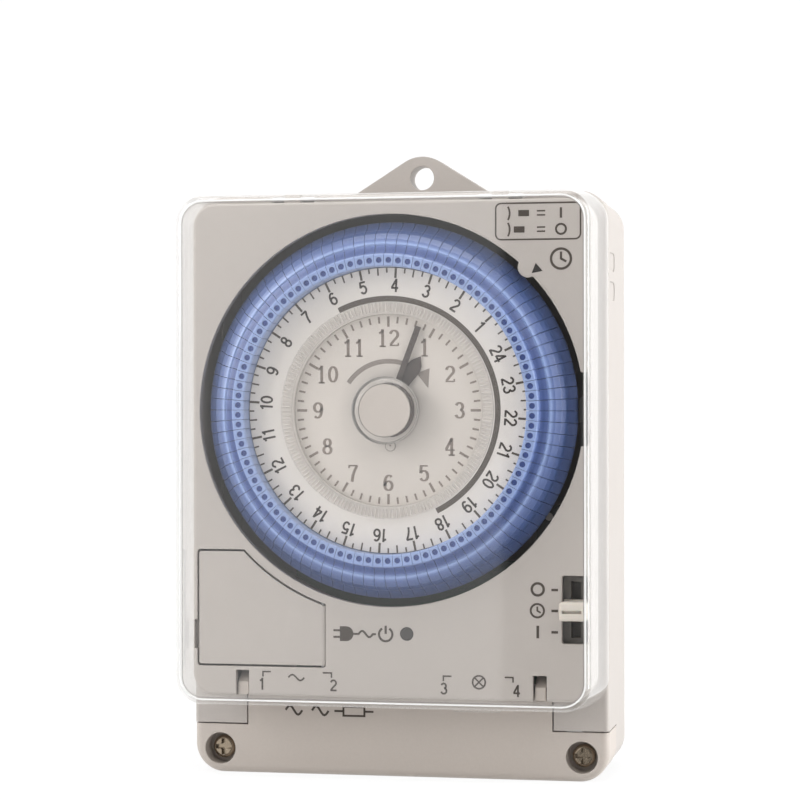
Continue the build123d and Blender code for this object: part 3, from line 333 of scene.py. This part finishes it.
# pieces whose material differs from that of their slot
OWN_MATERIALS = {
    "mode_switch": plastic("switch_body", color=(0.200, 0.186, 0.172), rough=0.55, grain=180,
                           bump=0.12, mottling=0.08, edge=0.15, edge_radius=0.2),
    "battery_holder": MATERIALS["case"],
    "setting_disc": MATERIALS["disc"],
}
slots = {part["node"]: part["material_slot"] for part in frame["record"]["subparts"]}
for name, piece in frame["nodes"].items():
    piece.data.materials.clear()
    piece.data.materials.append(OWN_MATERIALS.get(name) or MATERIALS[slots[name]])

INK_DARK = ink("ink_dark", srgb(62, 53, 47))
INK_GREY = ink("ink_grey", srgb(134, 122, 114))
INK_CASE = ink("ink_case", srgb(66, 57, 50))
INK_TICK = ink("ink_tick", srgb(84, 74, 64))
INK_BLACK = ink("ink_black", srgb(40, 36, 34))
INK_DOT = ink("pin_dot", color=(0.030, 0.060, 0.225), rough=0.4)


# ------------------------------------------------------------------ outlines and meshes
def polar(radius, angle, center=(0.0, 0.0)):
    angle = math.radians(angle)
    return (center[0] + radius * math.sin(angle), center[1] + radius * math.cos(angle))


def ellipse(cx, cz, radius_x, radius_z, start, end, count):
    """Points along an ellipse between two angles."""
    angles = [math.radians(start + (end - start) * i / (count - 1)) for i in range(count)]
    return [(cx + radius_x * math.sin(a), cz + radius_z * math.cos(a)) for a in angles]


def rounded(width, height, radius, center, steps):
    """Outline of a rounded rectangle, clockwise from the top right corner."""
    points = []
    for side_x, side_z, start in ((1, 1, 0), (1, -1, 90), (-1, -1, 180), (-1, 1, 270)):
        corner = (center[0] + side_x * (width / 2 - radius),
                  center[1] + side_z * (height / 2 - radius))
        points += [polar(radius, start + 90 / steps * i, corner) for i in range(steps + 1)]
    return points


def wave(x, z, reach, rise):
    """One period of a sine wave, reaching equally to both sides of its centre."""
    return [(x + reach * (i / 12 - 0.5) * 2, z + rise * math.sin(2 * math.pi * i / 12))
            for i in range(13)]


def add_vert(bm, x, z, height):
    return bm.verts.new((x * MM, -height * MM, z * MM))


def mesh_object(bm, name, material):
    mesh = bpy.data.meshes.new(name)
    bm.to_mesh(mesh)
    bm.free()
    mesh.materials.append(material)
    result = bpy.data.objects.new(name, mesh)
    scene.collection.objects.link(result)
    return result


def add_piece(bm, name, material, body):
    """Make a mesh that moves with a body of the frame."""
    bmesh.ops.recalc_face_normals(bm, faces=bm.faces[:])
    piece = mesh_object(bm, name, material)
    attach(piece, body)


class Flat:
    """Printed marks or thin plates, outlined in X and Z at a height off the wall."""

    def __init__(self, height, thickness=INK_THICKNESS):
        self.bm = bmesh.new()
        self.height = height
        self.thickness = thickness

    def poly(self, points):
        bm = self.bm
        triangles = tessellate_polygon([[Vector((x, z, 0)) for x, z in points]])
        top = [add_vert(bm, x, z, self.height + self.thickness) for x, z in points]
        bottom = [add_vert(bm, x, z, self.height) for x, z in points]
        for a, b, c in triangles:
            # an outline with a repeated point may give a triangle that can't be made
            try:
                bm.faces.new((top[a], top[b], top[c]))
                bm.faces.new((bottom[c], bottom[b], bottom[a]))
            except ValueError:
                pass
        for i in range(len(points)):
            j = (i + 1) % len(points)
            bm.faces.new((top[i], top[j], bottom[j], bottom[i]))

    def stroke(self, points, width, closed=False):
        """Ribbon along a centre line, with one width or a list of one per point."""
        bm = self.bm
        count = len(points)
        widths = width if isinstance(width, list) else [width] * count
        rows = []
        for i, (x, z) in enumerate(points):
            if closed:
                before, after = points[i - 1], points[(i + 1) % count]
            else:
                before, after = points[max(0, i - 1)], points[min(count - 1, i + 1)]
            arriving = Vector((x - before[0], z - before[1]))
            leaving = Vector((after[0] - x, after[1] - z))
            arriving = arriving.normalized() if arriving.length else leaving.normalized()
            leaving = leaving.normalized() if leaving.length else arriving
            along = arriving + leaving
            along = along.normalized() if along.length > 1e-6 else arriving
            # a mitre keeps the ribbon's width round a bend, up to a limit
            normal = Vector((-along.y, along.x))
            mitre = max(0.4, normal.dot(Vector((-arriving.y, arriving.x))))
            half = widths[i] / 2 / mitre
            left = (x + normal.x * half, z + normal.y * half)
            right = (x - normal.x * half, z - normal.y * half)
            top = self.height + self.thickness
            rows.append([add_vert(bm, *side, height) for side, height in (
                (left, top), (right, top), (right, self.height), (left, self.height))])
        for i in range(count if closed else count - 1):
            a, b = rows[i], rows[(i + 1) % count]
            for k in range(4):
                m = (k + 1) % 4
                bm.faces.new((a[k], a[m], b[m], b[k]))
        if not closed:
            bm.faces.new(rows[0])
            bm.faces.new(list(reversed(rows[-1])))

    def arc(self, radius, start, end, width, count, center=(0.0, 0.0)):
        self.stroke(ellipse(*center, radius, radius, start, end, count), width)

    def ring(self, radius, width, count, center=(0.0, 0.0)):
        self.arc(radius, 0, 360, width, count, center)

    def circle(self, x, z, radius, count):
        angles = [2 * math.pi * i / count for i in range(count)]
        self.poly([(x + radius * math.cos(a), z + radius * math.sin(a)) for a in angles])

    def done(self, name, material, body):
        add_piece(self.bm, name, material, body)


# ------------------------------------------------------------------ digits
SIX = [(ellipse(0, -0.165, 0.225, 0.255, 0, 345, 24), True),
       (ellipse(0.03, -0.02, 0.255, 0.44, 38, -108, 18), False)]
# centre lines of digits one unit high: (points, closed) for each stroke
DIGITS = {
    "0": [(ellipse(0, 0, 0.23, 0.42, 0, 345, 24), True)],
    "1": [([(0.05, 0.5), (0.05, -0.5)], False),
          ([(-0.17, 0.27), (-0.03, 0.33), (0.06, 0.44)], False)],
    "2": [(ellipse(0, 0.185, 0.225, 0.235, -78, 118, 18) + [(-0.05, -0.19), (-0.22, -0.40)],
           False),
          ([(-0.27, -0.425), (0.27, -0.425)], False)],
    "3": [(ellipse(-0.01, 0.215, 0.2, 0.205, -72, 172, 18), False),
          (ellipse(0, -0.19, 0.23, 0.23, 8, 254, 20), False)],
    "4": [([(0.1, 0.5), (0.1, -0.5)], False),
          ([(0.09, 0.44), (-0.24, -0.16)], False),
          ([(-0.29, -0.19), (0.28, -0.19)], False)],
    "5": [([(-0.17, 0.42), (0.23, 0.42)], False),
          ([(-0.165, 0.46), (-0.205, 0.0)], False),
          (ellipse(0.0, -0.14, 0.23, 0.28, -52, 240, 24), False)],
    "6": SIX,
    "7": [([(-0.26, 0.42), (0.27, 0.42)], False),
          ([(0.24, 0.42), (0.08, 0.12), (-0.02, -0.16), (-0.07, -0.5)], False)],
    "8": [(ellipse(0, 0.215, 0.185, 0.205, 0, 345, 24), True),
          (ellipse(0, -0.2, 0.225, 0.22, 0, 345, 24), True)],
    "9": [([(-x, -y) for x, y in points], closed) for points, closed in SIX],
}
SERIFS = {
    "1": [(0.05 - 0.19, -0.475), (0.05 + 0.19, -0.475)],
    "4": [(0.1 - 0.19, -0.475), (0.1 + 0.19, -0.475)],
    "7": [(-0.25, 0.44), (-0.25, 0.27)],
    "2": [(0.26, -0.44), (0.26, -0.28)],
}


def tapered(points, closed, weight, thin):
    """Widths along a stroke: thin where it runs level, full weight where it is upright."""
    widths = []
    last = len(points) - 1
    for i in range(len(points)):
        before = points[i - 1] if i or closed else points[0]
        after = points[(i + 1) % len(points)] if i < last or closed else points[i]
        dx, dy = after[0] - before[0], after[1] - before[1]
        upright = abs(dy) / max(1e-6, math.hypot(dx, dy))
        widths.append(thin + (weight - thin) * upright)
    return widths


def draw_number(flat, text, x, z, size, turn=0.0, weight=0.155, thin=None, squeeze=1.0,
                advance=0.66):
    """A centred number. With `thin` given, level strokes are thin and there are serifs."""
    serifed = thin is not None
    turn = math.radians(turn)
    one_advance = 0.88 if serifed else 0.80
    advances = [advance * (one_advance if char == "1" else 1.0) for char in text]
    start = -sum(advances) / 2
    for char, char_advance in zip(text, advances):
        middle = start + char_advance / 2
        start += char_advance

        def place(points):
            placed = []
            for px, py in points:
                u, v = (px + middle) * size * squeeze, py * size
                placed.append((x + u * math.cos(turn) + v * math.sin(turn),
                               z - u * math.sin(turn) + v * math.cos(turn)))
            return placed

        for points, closed in DIGITS[char]:
            if serifed:
                width = [w * size for w in tapered(points, closed, weight, thin)]
            else:
                width = weight * size
            flat.stroke(place(points), width, closed)
        if serifed and char in SERIFS:
            flat.stroke(place(SERIFS[char]), thin * size * 1.1)


# ------------------------------------------------------------------ 24-hour ring
QUARTERS = 96
QUARTER_STEP = 360 / QUARTERS
HOUR_STEP = 4 * QUARTER_STEP


def hour_angle(hour):
    """The hours run anticlockwise, with 4 just right of the top."""
    return 3.5 - HOUR_STEP * (hour - 4)


flat = Flat(RING_HEIGHT)
for hour in range(1, 25):
    angle = hour_angle(hour)
    draw_number(flat, str(hour), *polar(30.2, angle), size=3.2, turn=angle, squeeze=0.95)
flat.done("dial_hour_numbers", INK_DARK, "dial")

TICK_OUTER = 34.4
# inner radius and width of the ticks on the hour and at the three quarters after it
HOUR_TICKS = ((32.0, 0.55), (33.25, 0.38), (32.6, 0.38), (33.25, 0.38))
flat = Flat(RING_HEIGHT)
for quarter in range(QUARTERS):
    angle = hour_angle(4) - QUARTER_STEP * quarter
    inner, width = HOUR_TICKS[quarter % 4]
    flat.stroke([polar(inner, angle), polar(TICK_OUTER, angle)], width)
flat.done("dial_hour_ticks", INK_TICK, "dial")

flat = Flat(RING_HEIGHT)
flat.arc(27.0, hour_angle(6), hour_angle(6) + 180, width=1.35, count=62)
flat.done("dial_night_arc", ink("ink_night", srgb(92, 84, 77)), "dial")

# ------------------------------------------------------------------ 12-hour face
flat = Flat(CLOCK_HEIGHT)
for hour in range(1, 13):
    draw_number(flat, str(hour), *polar(17.5, 30.0 * hour), size=4.25, weight=0.17, thin=0.085,
                squeeze=0.95, advance=0.80)
flat.done("clock_numbers", INK_GREY, "case")

MINUTE_TICK_OUTER = 22.7
flat = Flat(CLOCK_HEIGHT)
for minute in range(60):
    inner, width = (21.1, 0.48) if minute % 5 else (20.2, 0.62)
    angle = 6.0 * minute
    flat.stroke([polar(inner, angle), polar(MINUTE_TICK_OUTER, angle)], width)
flat.done("clock_ticks", INK_GREY, "case")

# curved arrow above the centre, with its head at the right
flat = Flat(CLOCK_HEIGHT)
flat.arc(11.9, -56, 39.5, width=1.15, count=33)
flat.poly([(6.9, 9.0), (10.16, 10.16), (9.85, 5.3)])
flat.done("setting_arrow", ink("ink_arrow", srgb(142, 133, 127)), "case")

# small raised pip below the centre, outlined and with a dot on it
PIP_X, PIP_Z = 0.5, -8.6
PIP_THICKNESS = 0.22
flat = Flat(CLOCK_HEIGHT, PIP_THICKNESS)
flat.circle(PIP_X, PIP_Z, radius=1.15, count=24)
flat.done("face_pip", MATERIALS["dial_white"], "case")
flat = Flat(CLOCK_HEIGHT, 0.03)
flat.ring(1.25, width=0.13, count=28, center=(PIP_X, PIP_Z))
flat.height = CLOCK_HEIGHT + PIP_THICKNESS
flat.thickness = INK_THICKNESS
flat.circle(PIP_X, PIP_Z + 0.1, radius=0.22, count=12)
flat.done("face_pip_outline", INK_GREY, "case")

# ------------------------------------------------------------------ dots on the pins
FIRST_PIN_ANGLE = 2.07
# quarter hours of the pins that move singly, 00:15 to 02:00; pin 16 would be 00:00
SINGLE_QUARTERS = range(1, 9)
MIDNIGHT_PIN = 16


def draw_pin_dot(flat, pin):
    x, z = polar(36.05, FIRST_PIN_ANGLE + QUARTER_STEP * pin)
    flat.circle(x, z, radius=0.70, count=20)


flat = Flat(PIN_HEIGHT, 0.05)
for pin in range(QUARTERS):
    if MIDNIGHT_PIN - pin not in SINGLE_QUARTERS:
        draw_pin_dot(flat, pin)
flat.done("pin_dots", INK_DOT, "dial")
for quarter in SINGLE_QUARTERS:
    time = f"{quarter // 4:02d}{quarter % 4 * 15:02d}"
    flat = Flat(PIN_HEIGHT, 0.05)
    draw_pin_dot(flat, MIDNIGHT_PIN - quarter)
    flat.done("pin_dot_" + time, INK_DOT, "pin_" + time)

# ------------------------------------------------------------------ setting disc
# fine three-sided ribs across its clear rim
RIB_COUNT = 180
RIB_RADII = (23.75, 25.95)
RIB_HALF_WIDTH = 0.19
RIB_BASE, RIB_CREST = 49.8, 50.08
RIB_PROFILE = [(-RIB_HALF_WIDTH, RIB_BASE), (0, RIB_CREST), (RIB_HALF_WIDTH, RIB_BASE)]
bm = bmesh.new()
for i in range(RIB_COUNT):
    angle = 2 * math.pi * i / RIB_COUNT
    cos, sin = math.cos(angle), math.sin(angle)
    a, b = [[add_vert(bm, r * sin + u * cos, r * cos - u * sin, height)
             for u, height in RIB_PROFILE] for r in RIB_RADII]
    for face in ((a[0], a[1], b[1], b[0]), (a[1], a[2], b[2], b[1]), (a[2], a[0], b[0], b[2]),
                 (a[2], a[1], a[0]), (b[0], b[1], b[2])):
        bm.faces.new(face)
# pale, strong rib edges: painted glints on the ribs
rib_frost_painted_glints = plastic("rib_frost_painted_glints", color=(0.62, 0.575, 0.535), rough=0.30, grain=520, bump=0.30,
                    mottling=0.16, edge=0.55, edge_radius=0.10, edge_color=(0.88, 0.85, 0.82),
                    coat=0.25)
add_piece(bm, "disc_ribs", rib_frost_painted_glints, "minute")

# pale ledge on the turning ring, which hides the slit round the clock face and stays clear of it
flat = Flat(CLOCK_HEIGHT, 0.03)
flat.ring(23.41, width=0.34, count=200)
flat.done("dial_ledge", MATERIALS["dial_white"], "dial")

# ------------------------------------------------------------------ knob
# pale seat under its clear rim
flat = Flat(49.45, 0.12)
flat.ring(7.15, width=1.5, count=96)
flat.done("knob_rim_seat", matt("knob_seat", (0.66, 0.62, 0.58)), "minute")

# tinted insert under its face
flat = Flat(51.45, 0.3)
flat.circle(0, 0, radius=6.3, count=72)
flat.done("knob_insert", plastic("knob_insert", color=(0.50, 0.455, 0.42), rough=0.5, grain=160,
                                 bump=0.06, mottling=0.05, edge=0.1), "minute")

# painted shade: a dark crescent round the insert, standing for the shade seen through the knob's
# sloped side; a thin line that swells on the right and lower right
SHADE_STEPS = 60
SHADE_START, SWELL_START, SHADE_END = -75.0, -5.0, 170.0
SHADE_INNER = 6.36
THIN_SHADE = 0.06


def shade_width(angle):
    if not SWELL_START < angle < SHADE_END:
        return THIN_SHADE
    swell = math.sin(math.radians(180.0 * (angle - SWELL_START) / (SHADE_END - SWELL_START)))
    return THIN_SHADE + 0.86 * max(0.0, swell) ** 0.6


angles = [SHADE_START + (SHADE_END - SHADE_START) * i / SHADE_STEPS
          for i in range(SHADE_STEPS + 1)]
inner = [polar(SHADE_INNER, a) for a in angles]
outer = [polar(SHADE_INNER + shade_width(a), a) for a in angles]
flat = Flat(51.4, 0.2)
for i in range(SHADE_STEPS):
    flat.poly([inner[i], outer[i], outer[i + 1], inner[i + 1]])
flat.done("knob_painted_shade", matt("knob_skirt", (0.085, 0.068, 0.062)), "minute")

# dark lines at the inside and outside of the rim, the outer one lower
flat = Flat(51.42, 0.2)
flat.ring(6.42, width=0.10, count=72)
flat.height = 50.2
flat.ring(7.72, width=0.11, count=72)
flat.done("knob_rim_lines", matt("knob_line", (0.20, 0.18, 0.165)), "minute")


# ------------------------------------------------------------------ marks on the face plate
def draw_switch_signs(flat):
    """Dashes beside the mode switch, with signs for off, automatic and on."""
    x = 36.2
    for z in (-42.9, -47.9, -53.0):
        flat.stroke([(39.6, z), (41.2, z)], width=0.6)
    flat.ring(1.45, width=0.6, count=32, center=(36.3, -42.8))
    flat.ring(1.6, width=0.5, count=32, center=(x, -47.9))
    flat.stroke([(x, -46.9), (x, -47.9), (37.0, -48.4)], width=0.42)
    flat.stroke([(36.3, -51.5), (36.3, -54.5)], width=0.65)


def draw_power_signs(flat):
    """Power sign beside the lamp, and a plug with its cable to the left of it."""
    x, z = -0.9, -54.2
    flat.arc(1.65, 32, 328, width=0.55, count=30, center=(x, z))
    flat.stroke([(x, -54.1), (x, -52.1)], width=0.55)
    for prong_z in (-53.4, -55.0):
        flat.stroke([(-13.9, prong_z), (-12.3, prong_z)], width=0.5)
    flat.poly([(-12.3, -52.4), (-10.7, -52.4)] + ellipse(-10.7, z, 1.8, 1.8, 0, 180, 14)
              + [(-12.3, -56.0)])
    curl = [(-7.6 + 0.35 * i, z + 0.75 * math.sin(math.radians(36 * i))) for i in range(1, 11)]
    flat.stroke([(-8.9, z), (-7.6, z)] + curl + [(-3.3, z)], width=0.5)


def draw_terminal_bracket(flat, numbers, number_z, top, corners):
    """Two numbers (text, x) and the corners (x, run towards the middle) above them."""
    for text, x in numbers:
        draw_number(flat, text, x, number_z[text], size=2.9)
    for x, run in corners:
        flat.stroke([(x, top - 1.2), (x, top), (x + run, top)], width=0.38)


def draw_terminal_signs(flat):
    """Supply at terminals 1 and 2, load at 3 and 4."""
    number_z = {"1": -66.8, "2": -66.8, "3": -67.0, "4": -67.2}
    draw_terminal_bracket(flat, (("1", -31.9), ("2", -13.9)), number_z, top=-63.8,
                          corners=((-31.6, 2.0), (-14.4, -2.2)))
    flat.stroke(wave(-23.2, -65.1, reach=2.0, rise=0.7), width=0.42)
    draw_terminal_bracket(flat, (("3", 13.4), ("4", 31.2)), number_z, top=-64.0,
                          corners=((13.3, 2.0), (30.3, -2.0)))
    x, z = 22.0, -65.3
    reach = 1.05
    flat.ring(1.55, width=0.42, count=32, center=(x, z))
    for slope in (1, -1):
        flat.stroke([(x - reach, z - slope * reach), (x + reach, z + slope * reach)], width=0.38)


def draw_pin_sign(flat):
    """Framed sign: pin outwards means on, pin inwards means off."""
    flat.stroke(rounded(20.5, 8.7, radius=1.3, center=(36.45, 45.25), steps=6), width=0.38,
                closed=True)
    for row, is_on in enumerate((True, False)):
        z = 47.2 - 3.9 * row
        flat.arc(3.2, 60, 120, width=0.45, count=10, center=(26.4, z))
        x = 30.6 + 1.1 * is_on
        flat.poly([(x, z - 0.75), (x + 2.6, z - 0.75), (x + 2.6, z + 0.75), (x, z + 0.75)])
        for offset in (0.5, -0.5):
            flat.stroke([(36.2, z + offset), (38.2, z + offset)], width=0.36)
        if is_on:
            flat.stroke([(42.0, z - 1.25), (42.0, z + 1.25)], width=0.55)
        else:
            flat.ring(1.2, width=0.5, count=28, center=(42.0, z))


def draw_clock_sign(flat):
    """Clock sign for the present time."""
    x, z = 42.0, 36.2
    flat.ring(2.4, width=0.6, count=36, center=(x, z))
    flat.stroke([(x, z + 1.7), (x, z), (x + 1.3, z - 0.7)], width=0.55)


flat = Flat(FACE_HEIGHT)
draw_switch_signs(flat)
draw_power_signs(flat)
draw_terminal_signs(flat)
draw_pin_sign(flat)
draw_clock_sign(flat)
flat.done("face_marks", INK_CASE, "case")

flat = Flat(FACE_HEIGHT)
flat.poly([(34.9, 32.8), (35.9, 35.25), (37.6, 33.3)])
flat.done("present_time_pointer", INK_BLACK, "case")

# waves, dashes and a box in a row on the terminal cover
x0, x1 = -13.9, -8.6
z = -74.3
flat = Flat(TERMINAL_COVER_HEIGHT)
for x in (-26.5, -19.8):
    flat.stroke(wave(x, z, reach=2.1, rise=1.1), width=0.55)
flat.stroke([(-16.2, z), (x0, z)], width=0.5)
flat.stroke([(x0, z + 1.1), (x0, z - 1.1), (x1, z - 1.1), (x1, z + 1.1)], width=0.5, closed=True)
flat.stroke([(x1, z), (-6.3, z)], width=0.5)
flat.done("supply_mark", INK_CASE, "case")

# ------------------------------------------------------------------ rim of the clear cover
# painted highlight: a bright line where the front turns into its walls, with a thin darker line
# inside it
COVER_CENTER = (0.0, -9.5)
flat = Flat(57.75, 0.05)
flat.stroke(rounded(98.6, 120.2, radius=5.6, center=COVER_CENTER, steps=8), width=0.42,
            closed=True)
flat.done("cover_rim_glint", plastic("rim_glint", color=(0.93, 0.93, 0.925), rough=0.18, grain=140,
                                     bump=0.04, edge=0.0, coat=0.5), "cover")
flat = Flat(57.3, 0.05)
flat.stroke(rounded(97.7, 119.3, radius=5.1, center=COVER_CENTER, steps=8), width=0.13,
            closed=True)
flat.done("cover_rim_line", plastic("rim_line", color=(0.30, 0.285, 0.27), rough=0.4, grain=140,
                                    bump=0.04, edge=0.0), "cover")

# ------------------------------------------------------------------ stage
# paper sweep: a floor under the object that curves up into a wall behind it
FLOOR_Z = cad_box[0][2]
FLOOR_FRONT, FLOOR_BACK = -2.5, 0.35
BEND = 0.5
profile = [(FLOOR_FRONT, FLOOR_Z), (FLOOR_BACK, FLOOR_Z)]
for angle in range(10, 91, 10):
    turn = math.radians(angle)
    profile.append((FLOOR_BACK + BEND * math.sin(turn), FLOOR_Z + BEND - BEND * math.cos(turn)))
profile.append((FLOOR_BACK + BEND, FLOOR_Z + 2.5))
bm = bmesh.new()
rows = [[bm.verts.new((x, y, z)) for x in (-3, 3)] for y, z in profile]
for a, b in zip(rows, rows[1:]):
    bm.faces.new((a[0], a[1], b[1], b[0]))
sweep = mesh_object(bm, "studio_sweep", paper("sweep_white"))
for face in sweep.data.polygons:
    face.use_smooth = True
sweep.visible_glossy = False

# ------------------------------------------------------------------ lights
# name, place, point aimed at, width and height, watts
LIGHTS = [
    ("key_left", (-0.85, -0.62, 0.42), (0, -0.04, 0), (0.6, 0.8), 7.4),
    ("front_soft", (-0.44, -0.96, 0.0), (-0.44, 0, 0.0), (0.63, 0.9), 1.35),
    ("front_right", (0.78, -0.92, 0.72), (0, -0.04, 0), (0.6, 0.6), 3.4),
    ("side_right", (1.0, 0.13, 0.10), (0.05, -0.02, 0), (0.45, 0.9), 12.0),
    ("top_soft", (0.0, -0.30, 1.05), (0, 0, 0), (1.0, 0.7), 7.0),
]
for name, place, target, size, watts in LIGHTS:
    light = bpy.data.lights.new(name, "AREA")
    light.shape = "RECTANGLE"
    light.size, light.size_y = size
    light.energy = watts
    lamp = bpy.data.objects.new(name, light)
    lamp.location = place
    aim = Vector(target) - Vector(place)
    lamp.rotation_euler = aim.to_track_quat("-Z", "Y").to_euler()
    scene.collection.objects.link(lamp)

# white surroundings, dim in front of the object and bright behind it
world = bpy.data.worlds.new("studio")
world.use_nodes = True
graph = Graph(world.node_tree)
direction = graph.add("TexCoord").outputs["Generated"]
depth = graph.add("SeparateXYZ", {0: direction}).outputs["Y"]
graph.fill(world.node_tree.nodes["Background"], {
    "Strength": graph.map_range(depth, source=(-0.55, 0.15), target=(0.16, 1.15)),
    "Color": (1, 1, 1, 1),
})
scene.world = world

# ------------------------------------------------------------------ camera
# in front and to the right, turned left by the yaw (radians)
YAW, PITCH, ROLL = 0.209, 0.002, -0.001
camera = bpy.data.cameras.new("camera")
camera.sensor_width = 36
camera.lens = 117.378
camera_object = bpy.data.objects.new("camera", camera)
forward = Vector((-math.sin(YAW) * math.cos(PITCH), math.cos(YAW) * math.cos(PITCH),
                  math.sin(PITCH)))
level = Vector((math.cos(YAW), math.sin(YAW), 0))
upright = level.cross(forward)
right = math.cos(ROLL) * level + math.sin(ROLL) * upright
up = -math.sin(ROLL) * level + math.cos(ROLL) * upright
pose = Matrix((right, up, -forward)).transposed().to_4x4()
pose.translation = (0.133511, -0.663165, 0.001248)
camera_object.matrix_world = pose
scene.collection.objects.link(camera_object)
scene.camera = camera_object
scene.view_settings.view_transform = "Standard"
scene.view_settings.look = "None"
